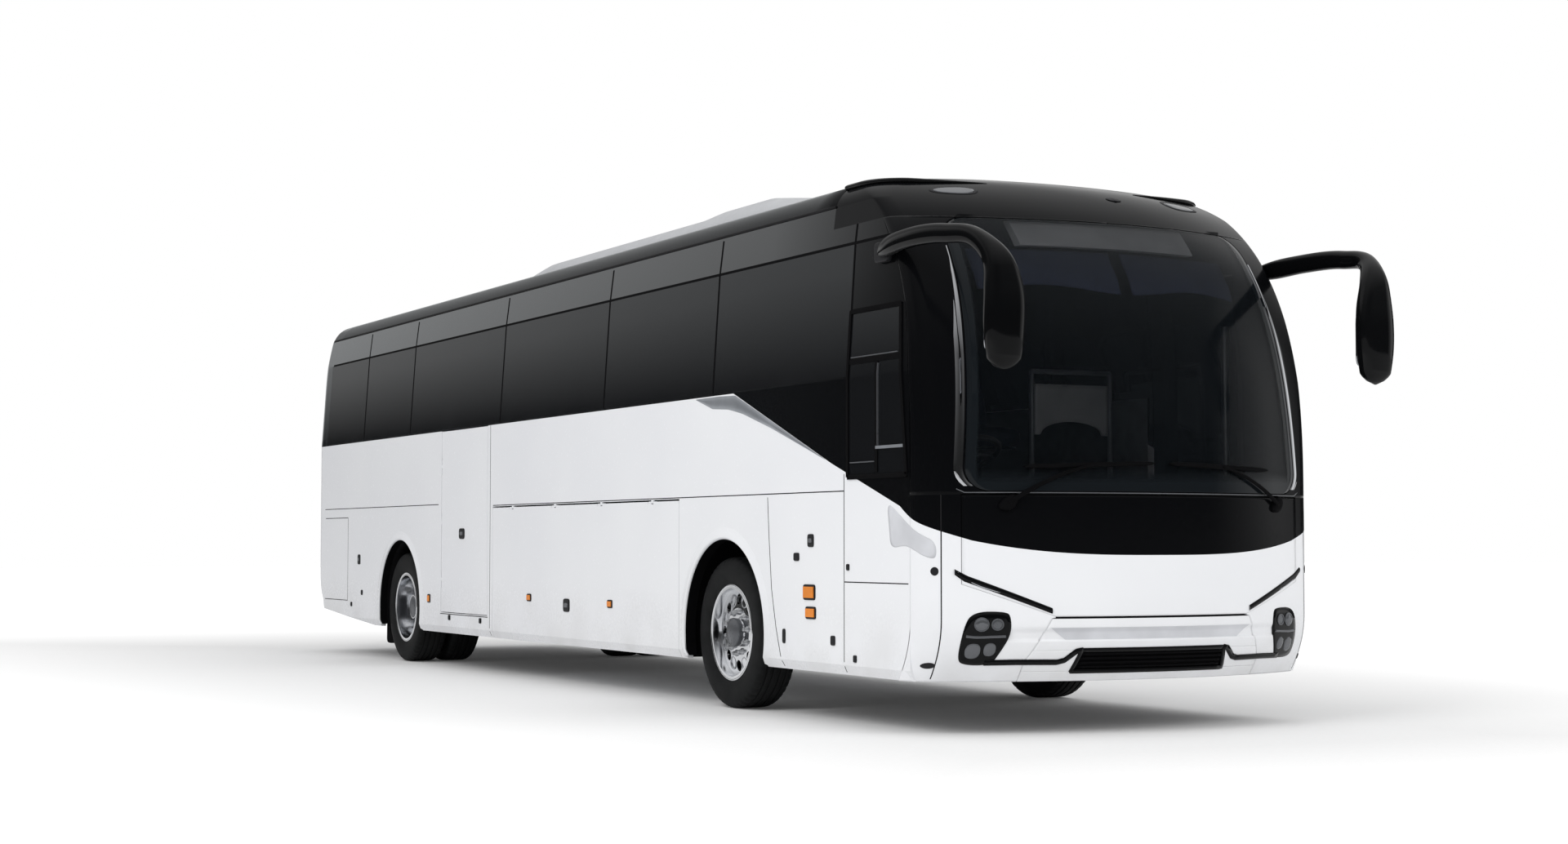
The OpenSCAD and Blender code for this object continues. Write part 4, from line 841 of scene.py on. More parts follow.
# roof pod: height over the crown from smooth end slopes, a front hump and rolled sides
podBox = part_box("roof_pod")
podSet = {
    "half": podBox[1][1], "rearRun": 0.45, "frontRun": 0.75, "roll": 0.10, "crown": 0.045, "sink": 0.002,
    "hump": 0.020, "humpFrom": -1.15, "humpTo": -0.75, "sealOut": 0.002, "sealUp": 0.004, "sealR": 0.007,
}
podX = columnOf(podBox[0][0], podBox[1][0], 150)
podY = rowOf(-1, 1, 72) * podSet["half"]
ends = np.sqrt(smooth((podX - podBox[0][0]) / podSet["rearRun"]))
ends = ends * smooth((podBox[1][0] - podX) / podSet["frontRun"])
rolled = np.sqrt(np.clip((podSet["half"] - np.abs(podY)) / podSet["roll"], 0, 1))
humpShare = smooth((podX - frontAxle - podSet["humpFrom"]) / (podSet["humpTo"] - podSet["humpFrom"]))
crownTop = podBox[1][2] - podSet["hump"] + podSet["hump"] * humpShare
crownTop = crownTop - podSet["crown"] * (podY / podSet["half"]) ** 2
roofAt = crownC[1] + np.sqrt(crownR ** 2 - podY ** 2)
podZ = roofAt - podSet["sink"] + np.maximum(0, crownTop - roofAt) * ends * rolled
pod = Shell().patch(np.stack([podX + 0 * podY, podY + 0 * podX, podZ], -1), flip=True)
pod.piece("roof_pod_shell", "podGrey", slot="pod_grey", replaced=["roof_pod"])
podSeals = []
for side in (-1, 1):
    beside = [0, side * (podSet["half"] + podSet["sealOut"]), roofAt[0, 0] + podSet["sealUp"]]
    podSeals.append(sweptTube(podX[4:-4] * [1, 0, 0] + beside, podSet["sealR"], podSet["sealR"], 8))
tubePiece("pod_seal", "rubber", podSeals, slot="rubber")
fanSet = {
    "places": (-3.55, -2.75, -1.95), "radius": 0.24, "rings": 7, "up": 0.004, "wave": 0.006, "drop": 0.012,
}
fanRing = columnOf(0.02, 1, 6 * fanSet["rings"])
fanWave = fanSet["wave"] * np.sin(fanRing * fanSet["rings"] * 2 * math.pi) * (fanRing < 0.97)
fanWave = fanWave - fanSet["drop"] * (fanRing >= 0.99)
fanShell = Shell()
for place in fanSet["places"]:
    fanX = frontAxle + place + fanSet["radius"] * fanRing * np.cos(angles)
    fanY = fanSet["radius"] * fanRing * np.sin(angles)
    fanZ = podBox[1][2] - podSet["hump"] + fanSet["up"] - podSet["crown"] * (fanY / podSet["half"]) ** 2
    fanShell.patch(np.stack([fanX, fanY, fanZ + fanWave], -1)[::-1], closeColumns=True)
fanShell.piece("pod_fans", "plastic", slot="trim_black")

# roof hatches, gutter rails and the raised cap edge round the dome
hatchSet = {"places": (-4.6, frontAxle + 0.95), "up": 0.008, "size": (0.78, 0.74, 0.055)}
hatches = [softBox((x, 0, roofZ + hatchSet["up"]), hatchSet["size"], 8) for x in hatchSet["places"]]
tubePiece("roof_hatches", "plastic", hatches, slot="trim_black")
railSet = {"y": gutterP[0] + 0.002, "z": gutterZ + 0.004, "wide": 0.006, "tall": 0.008}
rails = []
for side in (-1, 1):
    first, last = ((coach[key], side * railSet["y"], railSet["z"]) for key in ("rearSplit", "roofSplit"))
    rails.append(sweptTube(np.linspace(first, last, 60), railSet["wide"], railSet["tall"], 10))
tubePiece("gutter_rails", "rubber", rails, slot="rubber")
lipSet = {
    "z": 3.046, "start": 4.28, "endY": 0.50, "meetIn": 0.01, "wide": 0.040, "tall": 0.020,
    "riseRate": 14, "fallRate": 3, "least": 0.12,
}
lipZ, lipY = lipSet["z"], float(sideY(lipSet["z"]))
lipFront = np.linspace(float(meetAt(lipZ)) - lipSet["meetIn"], lipSet["endY"], 16)
lipSide = np.linspace((lipSet["start"], lipY, lipZ), (float(bendPlace(lipZ)[1]), lipY, lipZ), 20)
lipPath = np.concatenate([lipSide, cornerAt(np.linspace(0.95, 0, 16), lipZ), frontAt(lipFront, lipZ)])
lipRun = np.linspace(0, 1, len(lipPath))
lipFade = np.minimum(lipRun * lipSet["riseRate"], lipRun[::-1] * lipSet["fallRate"])
lipFade = np.minimum(1, lipFade + lipSet["least"])
lips = []
for side in (-1, 1):
    lips.append(sweptTube(lipPath * [1, side, 1], lipSet["wide"] * lipFade, lipSet["tall"] * lipFade, 12))
tubePiece("dome_lip", "gloss", lips, slot="body_black")
roofLamps = {
    "outline": [(0.64, 2.985), (0.67, 3.006), (0.84, 2.998), (0.89, 2.975), (0.86, 2.958), (0.70, 2.953)],
    "lift": 0.010, "bezelGrow": (1.22, 1.35), "bezelLift": 0.003,
    "sensor": (0.22, 2.974, 0.104, 0.028), "sensorLift": 0.012,
    "eyeShare": 0.35, "eyeShift": 0.143, "eyeLift": 0.016,
}
roofLamp = rounded(roofLamps["outline"])
roofBezel = roofLamp.mean(0) + (roofLamp - roofLamp.mean(0)) * roofLamps["bezelGrow"]
markers = [frontBlob(roofLamp * [side, 1], roofLamps["lift"]) for side in (-1, 1)]
tubePiece("roof_marker_lenses", "smoked", markers, slot="lamp_clear")
markers = [frontBlob(roofBezel * [side, 1], roofLamps["bezelLift"]) for side in (-1, 1)]
tubePiece("roof_marker_bezels", "plastic", markers, slot="trim_black")
oval = ovalAt(*roofLamps["sensor"])
eye = oval * [roofLamps["eyeShare"], 1] + [roofLamps["eyeShift"], 0]
sensors = [frontBlob(oval, roofLamps["sensorLift"]), frontBlob(eye, roofLamps["eyeLift"])]
tubePiece("roof_sensor", "plastic", sensors, slot="trim_black")
print("roof done")

# headlamps and slit lamps; round lamps are half width, height, radius and lift
lampSet = {
    "outline": [(0.878, 0.658), (1.045, 0.658), (1.090, 0.570), (1.100, 0.400), (1.045, 0.374), (0.925, 0.376),
                (0.890, 0.450), (0.852, 0.540), (0.855, 0.630)],
    "slitLower": [(0.640, 0.645), (1.085, 0.815), (1.130, 0.850)],
    "slitUpper": [(0.640, 0.675), (1.070, 0.845), (1.130, 0.880)],
    "slitShares": (0, 0.9, 1), "slitLift": 0.007, "slitSeat": 0.0008,
    "led": [(0.665, 0.666), (0.85, 0.738), (1.06, 0.818), (1.115, 0.862)],
    "bar": [(0.878, 0.528), (0.94, 0.526), (1.03, 0.524), (1.072, 0.528)],
    "projector": (1.000, 0.590, 0.034, 0.018), "dipped": (0.922, 0.590, 0.028, 0.007),
    "squares": [(1.030, 0.450, 0.075, 0.080), (0.948, 0.458, 0.060, 0.070)],
}


def slitGrid(side, lift):
    # slit lamp between its lower and upper edge lines, crowned by the root of a half wave
    lower = resample(lampSet["slitLower"], 0.02)
    share = np.linspace(0, 1, len(lower))
    upper = [np.interp(share, lampSet["slitShares"], c) for c in np.array(lampSet["slitUpper"]).T]
    upper = np.stack(upper, -1)
    row = np.linspace(0, 1, 9)[:, None, None]
    flat = lower + (upper - lower) * row
    crown = lift * np.sqrt(np.abs(np.sin(math.pi * row[..., 0]))) + lampSet["slitSeat"]
    return frontAt(side * flat[..., 0], flat[..., 1], -np.broadcast_to(crown, flat.shape[:2]))


headOutline = rounded(lampSet["outline"])
unitSquare = np.array([(-0.5, -0.5), (0.5, -0.5), (0.5, 0.5), (-0.5, 0.5)])
bezels, ledLines, lenses, rings = Shell(), [], [], []
for side in (-1, 1):
    turned = [side, 1]
    bezels.patch(frontBlob(headOutline * turned, 0.004, 0.008), closeColumns=True)
    bezels.patch(slitGrid(side, lampSet["slitLift"]))
    ledLines.append(frontTube(smoothPath(lampSet["led"], 40) * turned, 0.004, 0.003, 0.003))
    for key, store in (("projector", lenses), ("dipped", rings)):
        y, z, r, lift = lampSet[key]
        disc = ovalAt(y, z, 2 * r, 2 * r) * turned
        store.append(frontBlob(disc, lift))
        rings.append(frontTube(np.concatenate([disc, disc[:2]]), 0.006, 0.004, 0.004, 8, level=(1, 0, 0.3)))
    lenses.append(frontTube(smoothPath(lampSet["bar"], 24) * turned, 0.004, 0.007, 0.006, square=3))
    for y, z, wide, tall in lampSet["squares"]:
        lenses.append(frontBlob(rounded(unitSquare * [wide, tall] + [y, z]) * turned, 0.008))
bezels.piece("lamp_bezels", "gloss", slot="trim_black", replaced=["front_lamps"], closed=True)
tubePiece("lamp_light_lines", "paleGrey", ledLines, slot="lamp_clear")
tubePiece("lamp_lenses", "smoked", lenses, slot="lamp_clear")
tubePiece("lamp_rings", "darkTrim", rings, slot="trim_grey")

# black band from the lamps to the grille, grille frame, slats, and above them the inset: a light grey patch of
# painted shade in the bumper's recessed band
bandLine = np.array(grilleSet["band"])
frames = [frontStrip(bandLine * [side, 1], grilleSet["bandWide"], 0.004, 0.010) for side in (-1, 1)]
frames.append(frontStrip(grilleSet["frame"], grilleSet["frameWide"], 0.003, 0.012))
tubePiece("grille_band", "gloss", frames, slot="trim_black")
slats = []
for z in np.linspace(*grilleSet["slats"]):
    slatPath = np.linspace((-grilleSet["slatHalf"], z), (grilleSet["slatHalf"], z), 40)
    slats.append(frontTube(slatPath, -0.004, 0.007, 0.006, 8))
tubePiece("grille_slats", "deepBlack", slats, slot="trim_black")
# painted shade: light grey laid over the white paint where the recessed band faces down
bandShadeSet = {"low": 0.508, "tall": 0.062, "half": 0.560, "grow": 0.085, "lift": 0.0015}
insetRow = columnOf(0, 1, 14)
insetZ = bandShadeSet["low"] + bandShadeSet["tall"] * insetRow
insetY = rowOf(-1, 1, 80) * (bandShadeSet["half"] + bandShadeSet["grow"] * insetRow)
inset = Shell().patch(frontAt(insetY, insetZ, bandRelief(insetY, insetZ) - bandShadeSet["lift"]))
inset.piece("bumper_band_shade", "paleGreyAndPaintedShade", slot="body_white")

# strips beside the windscreen, the lower seam line, the corner seams and small ovals on the corners
stripSet = {
    "from": 1.315, "to": 2.62, "wide": 0.050, "gap": 0.008, "taperRun": 0.5, "taperLeast": 0.15,
    "crown": 0.005, "sink": 0.001,
}
stripZ = columnOf(stripSet["from"], stripSet["to"], 60)
stripRow = rowOf(0, 1, 8)
taper = np.clip((stripSet["to"] - stripZ) / stripSet["taperRun"], stripSet["taperLeast"], 1)
stripY = screenHalf(stripZ) + stripSet["gap"] + stripSet["wide"] * taper * stripRow
stripRise = stripSet["crown"] * np.sin(math.pi * stripRow) - stripSet["sink"] + 0 * stripZ
stripShell = Shell()
for side in (-1, 1):
    stripShell.patch(frontAt(side * stripY, stripZ, -stripRise), flip=side < 0)
stripShell.piece("pillar_strips", "bright", slot="trim_grey")
seamSet = {
    "screen": [(-1.12, 1.300), (-1.08, 1.281), (1.08, 1.281), (1.12, 1.300)], "wide": 0.005,
    "cornerY": 1.190, "cornerZ": (0.300, 1.268),
    "ovals": [(1.216, 0.868, 0.030, 0.045), (1.216, 0.372, 0.055, 0.032)],
}
tubePiece("screen_seam", "darkTrim", [frontStrip(seamSet["screen"], seamSet["wide"], 0.002)], slot="trim_grey")
cornerSeams = [[(side * seamSet["cornerY"], z) for z in seamSet["cornerZ"]] for side in (-1, 1)]
cornerSeams = [frontStrip(line, seamSet["wide"], 0.0008) for line in cornerSeams]
tubePiece("corner_seams", "seam", cornerSeams, slot="trim_black")
noseOvals = [frontBlob(ovalAt(*row) * [side, 1], 0.003) for side in (-1, 1) for row in seamSet["ovals"]]
tubePiece("nose_ovals", "plastic", noseOvals, slot="trim_black")

# wipers lie along the lower edge of the glass: arm, blade and cap over the pivot
wiperSet = {
    "pivots": [(-0.870, 1.225), (0.890, 1.225)], "mids": [(-0.415, 1.430), (0.425, 1.430)],
    "rise": (0.12, 0.075), "reach": (0.05, 0.012),
    "armLift": 0.022, "armWide": (0.014, 0.008), "armTall": 0.006,
    "blade": (0.375, 0.012), "bladeLift": 0.014, "bladeWide": 0.013, "bladeTall": 0.008,
    "cap": [(-0.055, -0.03), (0.02, -0.045), (0.06, 0.02), (0.03, 0.055), (-0.03, 0.02)], "capLift": 0.026,
}
wipers = []
bladeRun = np.linspace(-1, 1, 50)
bladeTip = np.sqrt(np.clip(1 - np.abs(bladeRun) ** 8, 0.02, 1))
for pivot, middle in zip(np.array(wiperSet["pivots"]), np.array(wiperSet["mids"])):
    inward = np.array([-math.copysign(1, pivot[0]), 1])
    armPath = [pivot, pivot + inward * wiperSet["rise"], middle - inward * wiperSet["reach"], middle]
    armWide = np.linspace(*wiperSet["armWide"], 30)
    wipers.append(frontTube(smoothPath(armPath, 30), wiperSet["armLift"], armWide, wiperSet["armTall"]))
    bladePath = middle + inward * wiperSet["blade"] * bladeRun[:, None]
    bladeWide = wiperSet["bladeWide"] * bladeTip
    wipers.append(frontTube(bladePath, wiperSet["bladeLift"], bladeWide, wiperSet["bladeTall"]))
    wipers.append(frontBlob(rounded(np.array(wiperSet["cap"]) + pivot), wiperSet["capLift"], 0.002))
tubePiece("wiper_set", "deepBlack", wipers, slot="trim_black", replaced=["wipers"])

# mirrors: one arm carried from the wall foot round into the hanging head; lengths run ahead of the front
mirrorSet = {
    "path": [(-0.835, 1.262, 2.600), (-0.70, 1.285, 2.612), (-0.42, 1.312, 2.628), (-0.05, 1.300, 2.612),
             (0.20, 1.262, 2.560), (0.310, 1.210, 2.440), (0.334, 1.190, 2.300), (0.338, 1.190, 2.080),
             (0.334, 1.190, 1.880)],
    "wide": [0.020, 0.034, 0.034, 0.034, 0.044, 0.080, 0.108, 0.112, 0.084],
    "tall": [0.030, 0.050, 0.054, 0.052, 0.050, 0.056, 0.060, 0.060, 0.046],
    "headRun": 0.055, "footRun": 0.05, "footStart": 0.004, "least": 0.004, "square": 2.6,
    "glass": (0.279, 1.190, 2.13), "glassSize": (0.012, 0.170, 0.30),
    "foot": (-0.805, 0.018, 2.600), "footSize": (0.150, 0.040, 0.115),
}
mirrorPath = smoothPath(mirrorSet["path"], 90)
known = lengthsOf(mirrorSet["path"])
share = np.linspace(0, 1, 90) * known[-1]
tipEnd = (share + mirrorSet["footStart"]) / mirrorSet["footRun"]
tipEnd = np.minimum((known[-1] - share) / mirrorSet["headRun"], tipEnd)
tipEnd = np.sqrt(np.clip(tipEnd, mirrorSet["least"], 1))
headWide, headTall = (smoothPath(list(zip(known, mirrorSet[key])), 90)[:, 1] for key in ("wide", "tall"))
glasses, mirrorFeet = [], []
for side, hand in sides:
    path = mirrorPath * [1, side, 1] + [frontX, 0, 0]
    grid = sweptTube(path, headWide * tipEnd, headTall * tipEnd, 28, mirrorSet["square"], level=(0, side, 0))
    tubePiece("mirror_shell_" + hand, "gloss", [grid], slot="trim_black", replaced=["mirror_" + hand])
    ahead, out, z = mirrorSet["glass"]
    glasses.append(softBox((frontX + ahead, side * out, z), mirrorSet["glassSize"], 7))
    ahead, out, z = mirrorSet["foot"]
    mirrorFeet.append(softBox((frontX + ahead, side * (wallY(z) + out), z), mirrorSet["footSize"]))
tubePiece("mirror_glasses", "mirror", glasses, slot="steel")
tubePiece("mirror_feet", "plastic", mirrorFeet, slot="trim_black")
print("front done")

# tyres: section turned about the axle, with grooves round the crown and notches on the shoulders
tyreSet = {
    "half": 0.1275, "twin": 0.300, "around": 208, "crownHalf": 0.103, "crownDrop": 0.006,
    "wallR": (0.287, 0.300, 0.330, 0.376, 0.410, 0.435, 0.452),
    "wallOut": (0.0985, 0.1090, 0.1215, 0.1270, 0.1262, 0.1225, 0.1140),
    "grooves": (-0.066, -0.024, 0.024, 0.066), "grooveHalf": 0.0045, "grooveDepth": 0.012, "grooveFrom": 0.455,
    "notches": 52, "notchDepth": 0.006, "notchLevel": 0.45, "notchOut": 0.078, "notchFrom": 0.44,
    "ribR": 0.395, "ribHalf": 0.004, "ribRise": 0.0015,
}


def tyreGrid(x, y):
    # walls and crown turned about the axle; grooves and notches lower the radius, a rib swells the wall
    wallR, wallOut, half = np.array(tyreSet["wallR"]), np.array(tyreSet["wallOut"]), tyreSet["crownHalf"]
    crown = np.linspace(-half, half, 75)
    offset = np.concatenate([-wallOut, crown, wallOut[::-1]])
    reach = np.concatenate([wallR, tyreR - tyreSet["crownDrop"] * np.abs(crown / half) ** 6, wallR[::-1]])
    turn = turnOf(tyreSet["around"])
    ring = [np.clip(1.6 - np.abs(offset - g) / tyreSet["grooveHalf"], 0, 1) for g in tyreSet["grooves"]]
    ring = np.maximum.reduce(ring) * (reach > tyreSet["grooveFrom"])
    shoulder = (np.abs(offset) > tyreSet["notchOut"]) & (reach > tyreSet["notchFrom"])
    notch = shoulder[:, None] * (np.sin(turn * tyreSet["notches"]) > tyreSet["notchLevel"])[None, :]
    rib = tyreSet["ribRise"] * np.clip(1 - np.abs(reach - tyreSet["ribR"]) / tyreSet["ribHalf"], 0, 1)
    full = reach[:, None] - ring[:, None] * tyreSet["grooveDepth"] - notch * tyreSet["notchDepth"]
    wall = offset + np.sign(offset) * rib
    return np.stack([x + full * np.cos(turn), y + wall[:, None] + 0 * turn, tyreR + full * np.sin(turn)], -1)


for name in ("front_tyre_right", "front_tyre_left", "rear_tyres_right", "rear_tyres_left"):
    low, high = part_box(name)
    middle, apart = (low[1] + high[1]) / 2, tyreSet["twin"] / 2
    places = [middle] if name.startswith("front") else [middle - apart, middle + apart]
    shell = Shell()
    for place in places:
        shell.patch(tyreGrid((low[0] + high[0]) / 2, place), closeRows=True, closeColumns=True)
    wheelBody = name.replace("_tyres_", "_wheel_").replace("_tyre_", "_wheel_")
    shell.piece(name + "_tread", "tyre", body=wheelBody, slot="tyre", replaced=[name], closed=True)

# wheel nuts, hub caps, collars round the front holes and rim edge rings; shapes are radius and offset
hubSet = {
    "nuts": 10, "nutTurn": 0.16, "frontRing": 0.130, "rearRing": 0.165, "frontFace": 0.063, "rearFace": -0.138,
    "nut": [(0.0, 0.034), (0.009, 0.034), (0.01188, 0.028), (0.0132, 0.010), (0.020625, 0.008),
            (0.02145, 0.0)],
    "frontCap": [(0.0, 0.121), (0.030, 0.120), (0.060, 0.116), (0.074, 0.110), (0.080, 0.106), (0.088, 0.104),
                 (0.090, 0.096), (0.086, 0.070)],
    "rearCap": [(0.0, 0.062), (0.035, 0.061), (0.070, 0.058), (0.090, 0.052), (0.104, 0.044), (0.106, 0.020),
                (0.106, -0.035)],
    "edge": [(0.270, 0.098), (0.276, 0.106), (0.288, 0.1145), (0.296, 0.1135), (0.2975, 0.108), (0.290, 0.104),
             (0.279, 0.100)],
    "holes": 8, "holeRing": 0.205, "holeR": 0.037, "holeOut": 0.058, "collarR": 0.0055,
}
bend = np.linspace(0, 2 * math.pi, 33)
holeCircle = hubSet["holeR"] * np.stack([np.cos(bend), 0 * bend, np.sin(bend)], -1)
axles = (("front", frontAxle), ("rear", rearAxle))
for axle, x in axles:
    for side, hand in sides:
        wheelBody = f"{axle}_wheel_{hand}"
        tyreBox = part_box(f"front_tyre_{hand}" if axle == "front" else f"rear_tyres_{hand}")
        outer = (tyreBox[0][1] if side < 0 else tyreBox[1][1]) - side * tyreSet["half"]
        centre = (x, outer, tyreR)
        nutShape, ring = np.array(hubSet["nut"]) + [0, hubSet[axle + "Face"]], hubSet[axle + "Ring"]
        nuts = []
        for turn in turnOf(hubSet["nuts"]) + hubSet["nutTurn"]:
            place = (x + ring * math.cos(turn), outer, tyreR + ring * math.sin(turn))
            nuts.append(lathe(nutShape, place, side, 12))
        tubePiece(f"{axle}_nuts_{hand}", "steel", nuts, body=wheelBody, slot="steel")
        cap = lathe(hubSet[axle + "Cap"], centre, side, 48)
        tubePiece(f"{axle}_hub_cap_{hand}", "darkTrim", [cap], body=wheelBody, slot="cast")
        if axle == "front":
            collars = []
            for turn in turnOf(hubSet["holes"]) + math.pi / hubSet["holes"]:
                out = hubSet["holeRing"] * np.array([math.cos(turn), 0, math.sin(turn)])
                path = np.array(centre) + [0, side * hubSet["holeOut"], 0] + out + holeCircle
                collars.append(sweptTube(path, hubSet["collarR"], hubSet["collarR"], 8))
            tubePiece(f"hole_collars_{hand}", "steel", collars, body=wheelBody, slot="steel")
        edge = Shell().patch(lathe(hubSet["edge"], centre, side, 96), closeRows=True, closeColumns=True)
        edge.piece(f"{axle}_rim_edge_{hand}", "alloy", body=wheelBody, slot="alloy", closed=True)
print("wheels done")

# wheel arches: raised flare on the skirt, dark edge over the cut, liners and flaps behind it
archSet = {
    "r": 0.575, "shift": 0.035, "low": 0.292, "flareUp": 0.012, "flareFrom": 0.0015, "flare": 0.075,
    "rise": 0.011, "seat": 0.0006, "flareSink": 0.003, "cutR": 0.574, "cutY": (1.200, 1.270), "cutIn": 0.003,
    "frontLiner": 0.618, "rearLiner": 0.568, "inner": 0.66, "outer": 1.208,
}
flares, edges, liners = Shell(), Shell(), Shell()
out = rowOf(0, 1, 14)
flareR = archSet["r"] + archSet["flareFrom"] + archSet["flare"] * out
bulge = archSet["rise"] * np.sqrt(np.clip(out * 9, 0, 1)) * (1 - smooth(out)) + archSet["seat"]
bulge = bulge - archSet["flareSink"] * (out == 1)
cutY = rowOf(*archSet["cutY"], 6)
for axle, x in axles:
    low = math.asin((archSet["low"] + archSet["flareUp"] - tyreR) / archSet["r"])
    turn = columnOf(low, math.pi - low, 110)
    middle = x + archSet["shift"]
    flareX = middle + flareR * np.cos(turn)
    flareZ = np.maximum(archSet["low"], tyreR + flareR * np.sin(turn))
    cutX = middle + archSet["cutR"] * np.cos(turn) + 0 * cutY
    cutZ = tyreR + archSet["cutR"] * np.sin(turn) + 0 * cutY
    linerR = archSet[axle + "Liner"]
    down = math.asin((archSet["low"] - tyreR) / linerR)
    sweep = columnOf(down, math.pi - down, 70)
    linerY = rowOf(archSet["inner"], archSet["outer"], 8) + 0 * sweep
    linerX = middle + linerR * np.cos(sweep) + 0 * linerY
    linerZ = tyreR + linerR * np.sin(sweep) + 0 * linerY
    for side in (-1, 1):
        flares.patch(np.stack([flareX, side * (sideFace(flareZ) + bulge), flareZ], -1), flip=side < 0)
        edgeOut = np.minimum(cutY, sideFace(cutZ) - archSet["cutIn"])
        edges.patch(np.stack([cutX, side * edgeOut, cutZ], -1), flip=side > 0)
        liners.patch(np.stack([linerX, side * linerY, linerZ], -1), flip=side > 0)
flares.piece("arch_flares", "paint", slot="body_white")
edges.piece("arch_edges", "deepBlack", slot="trim_black")
liners.piece("arch_liners", "deepBlack", slot="trim_black", thick=0.004)
flapSet = {"place": (rearAxle - 0.575, 0.935, 0.300), "size": (0.010, 0.52, 0.34)}
flaps = [softBox(np.array(flapSet["place"]) * [1, side, 1], flapSet["size"], 14, 10, 28) for side in (-1, 1)]
tubePiece("mud_flaps", "rubber", flaps, slot="rubber")

# side panels: lengths run ahead of the front axle; wedge trims under the belt first
wedgeSet = {
    "upper": [(-0.384, 1.922), (-0.05, 1.925), (0.20, 1.918), (0.60, 1.774), (1.0, 1.629), (1.38, 1.491)],
    "lower": [(-0.384, 1.920), (-0.127, 1.846), (0.10, 1.832), (0.30, 1.797), (0.70, 1.692), (1.0, 1.602),
              (1.38, 1.486)],
    "start": -0.384, "ends": ((-1, 1.38), (1, 0.98)), "rise": 0.007, "thin": 0.03, "sink": 0.001,
}
wedge = Shell()
row = columnOf(0, 1, 10)
for side, end in wedgeSet["ends"]:
    wedgeX = rowOf(wedgeSet["start"], end, 70)
    upper, lower = (np.interp(wedgeX, *np.array(wedgeSet[key]).T) for key in ("upper", "lower"))
    wedgeZ = lower + (upper - lower) * row
    rise = wedgeSet["rise"] * np.sin(math.pi * row) ** 0.5 * np.clip((upper - lower) / wedgeSet["thin"], 0, 1)
    wedgeY = side * (sideFace(wedgeZ) + rise - wedgeSet["sink"])
    wedge.patch(np.stack([wedgeX + frontAxle + 0 * row, wedgeY, wedgeZ], -1), flip=side > 0)
wedge.piece("belt_wedges", "silver", slot="trim_grey")

# seams on the side panels, each a side and a line
archSeam = [(0.649, 1.285), (0.668, 1.05), (0.701, 0.748), (0.76, 0.52), (0.843, 0.300)]
rearFlap = [(-8.80, 1.245), (-8.06, 1.245), (-8.06, 0.490), (-8.80, 0.490)]
sideSeams = [
    (-1, [(-4.145, 1.305), (1.610, 1.305)]), (1, [(-4.145, 1.305), (1.020, 1.305)]),
    (-1, [(-4.208, 0.300), (-4.208, 1.930)]), (-1, [(-5.400, 0.440), (-4.255, 0.440)]),
    (-1, [(1.610, 0.300), (1.610, 1.400)]), (-1, [(1.610, 0.800), (2.330, 0.800)]),
    (-1, archSeam), (1, archSeam), (1, [(1.950, 0.800), (2.330, 0.800)]),
    (-1, [(-8.82, 1.330), (-5.46, 1.330)]), (1, [(-8.82, 1.330), (-5.46, 1.330)]),
    (-1, rearFlap), (1, rearFlap),
]
sideSeams = [sideStrip(line, 0.006, side, 0.0008) for side, line in sideSeams]
tubePiece("panel_seams", "seam", sideSeams, slot="trim_black", smooth=False)


def sidePlate(row, lift, deep, square, rows, around, shares=(1, 1)):
    # soft box on a side wall from a row of side, length, height, width and tallness
    side, ahead, z, wide, tall = row
    size = (wide * shares[0], deep, tall * shares[1])
    return softBox((frontAxle + ahead, side * (wallY(z) + lift), z), size, square, rows, around)


# latches with a grip on the wide ones, then rims round the marker lamps, by the body that carries them
latchRows = {
    "body": [
        (-1, 1.208, 1.03, 0.075, 0.075), (-1, 1.029, 0.936, 0.068, 0.048), (-1, 0.869, 0.475, 0.034, 0.085),
        (-1, 1.479, 0.47, 0.052, 0.055), (-1, 1.657, 0.882, 0.032, 0.036), (-1, 1.739, 0.379, 0.036, 0.04),
        (-1, -7.7, 0.866, 0.075, 0.09), (-1, -7.605, 0.57, 0.045, 0.045), (-1, -7.93, 0.458, 0.045, 0.04),
        (-1, -5.165, 0.413, 0.05, 0.042), (-1, -4.419, 0.408, 0.05, 0.042), (1, 0.869, 0.475, 0.034, 0.085),
        (1, -7.7, 0.866, 0.075, 0.09), (1, -4.87, 1.09, 0.13, 0.085), (1, 2.06, 1.04, 0.09, 0.09),
    ],
    "battery_bay_door": [(-1, -4.870, 1.090, 0.130, 0.085)],
    "luggage_door_right": [(-1, -2.587, 0.572, 0.120, 0.095)],
    "luggage_door_left": [(1, -2.587, 0.572, 0.120, 0.095)],
}
gripSet = {"from": 0.07, "shares": (0.55, 0.34)}
for body, rows in latchRows.items():
    plates = [sidePlate(row, 0.001, 0.014, 5, 10, 20) for row in rows]
    wideRows = [row for row in rows if row[3] > gripSet["from"]]
    grips = [sidePlate(row, 0.006, 0.012, 4, 8, 16, gripSet["shares"]) for row in wideRows]
    tubePiece("latches_" + body, "plastic", plates, body=body, slot="trim_black")
    tubePiece("latch_grips_" + body, "greyPlastic", grips, body=body, slot="trim_grey")
markerRows = {
    "body": [(-1, 1.190, 0.735, 0.150, 0.090), (-1, 1.208, 0.618, 0.128, 0.072),
             (-1, -5.690, 0.557, 0.070, 0.070), (1, -5.690, 0.557, 0.070, 0.070)],
    "luggage_door_right": [(-1, -3.340, 0.612, 0.086, 0.056), (-1, -1.780, 0.600, 0.086, 0.056)],
    "luggage_door_left": [(1, -3.340, 0.612, 0.086, 0.056), (1, -1.780, 0.600, 0.086, 0.056)],
}
for body, rows in markerRows.items():
    rims = [sidePlate(row, 0.001, 0.012, 7, 10, 24) for row in rows]
    tubePiece("marker_rims_" + body, "plastic", rims, body=body, slot="trim_black")

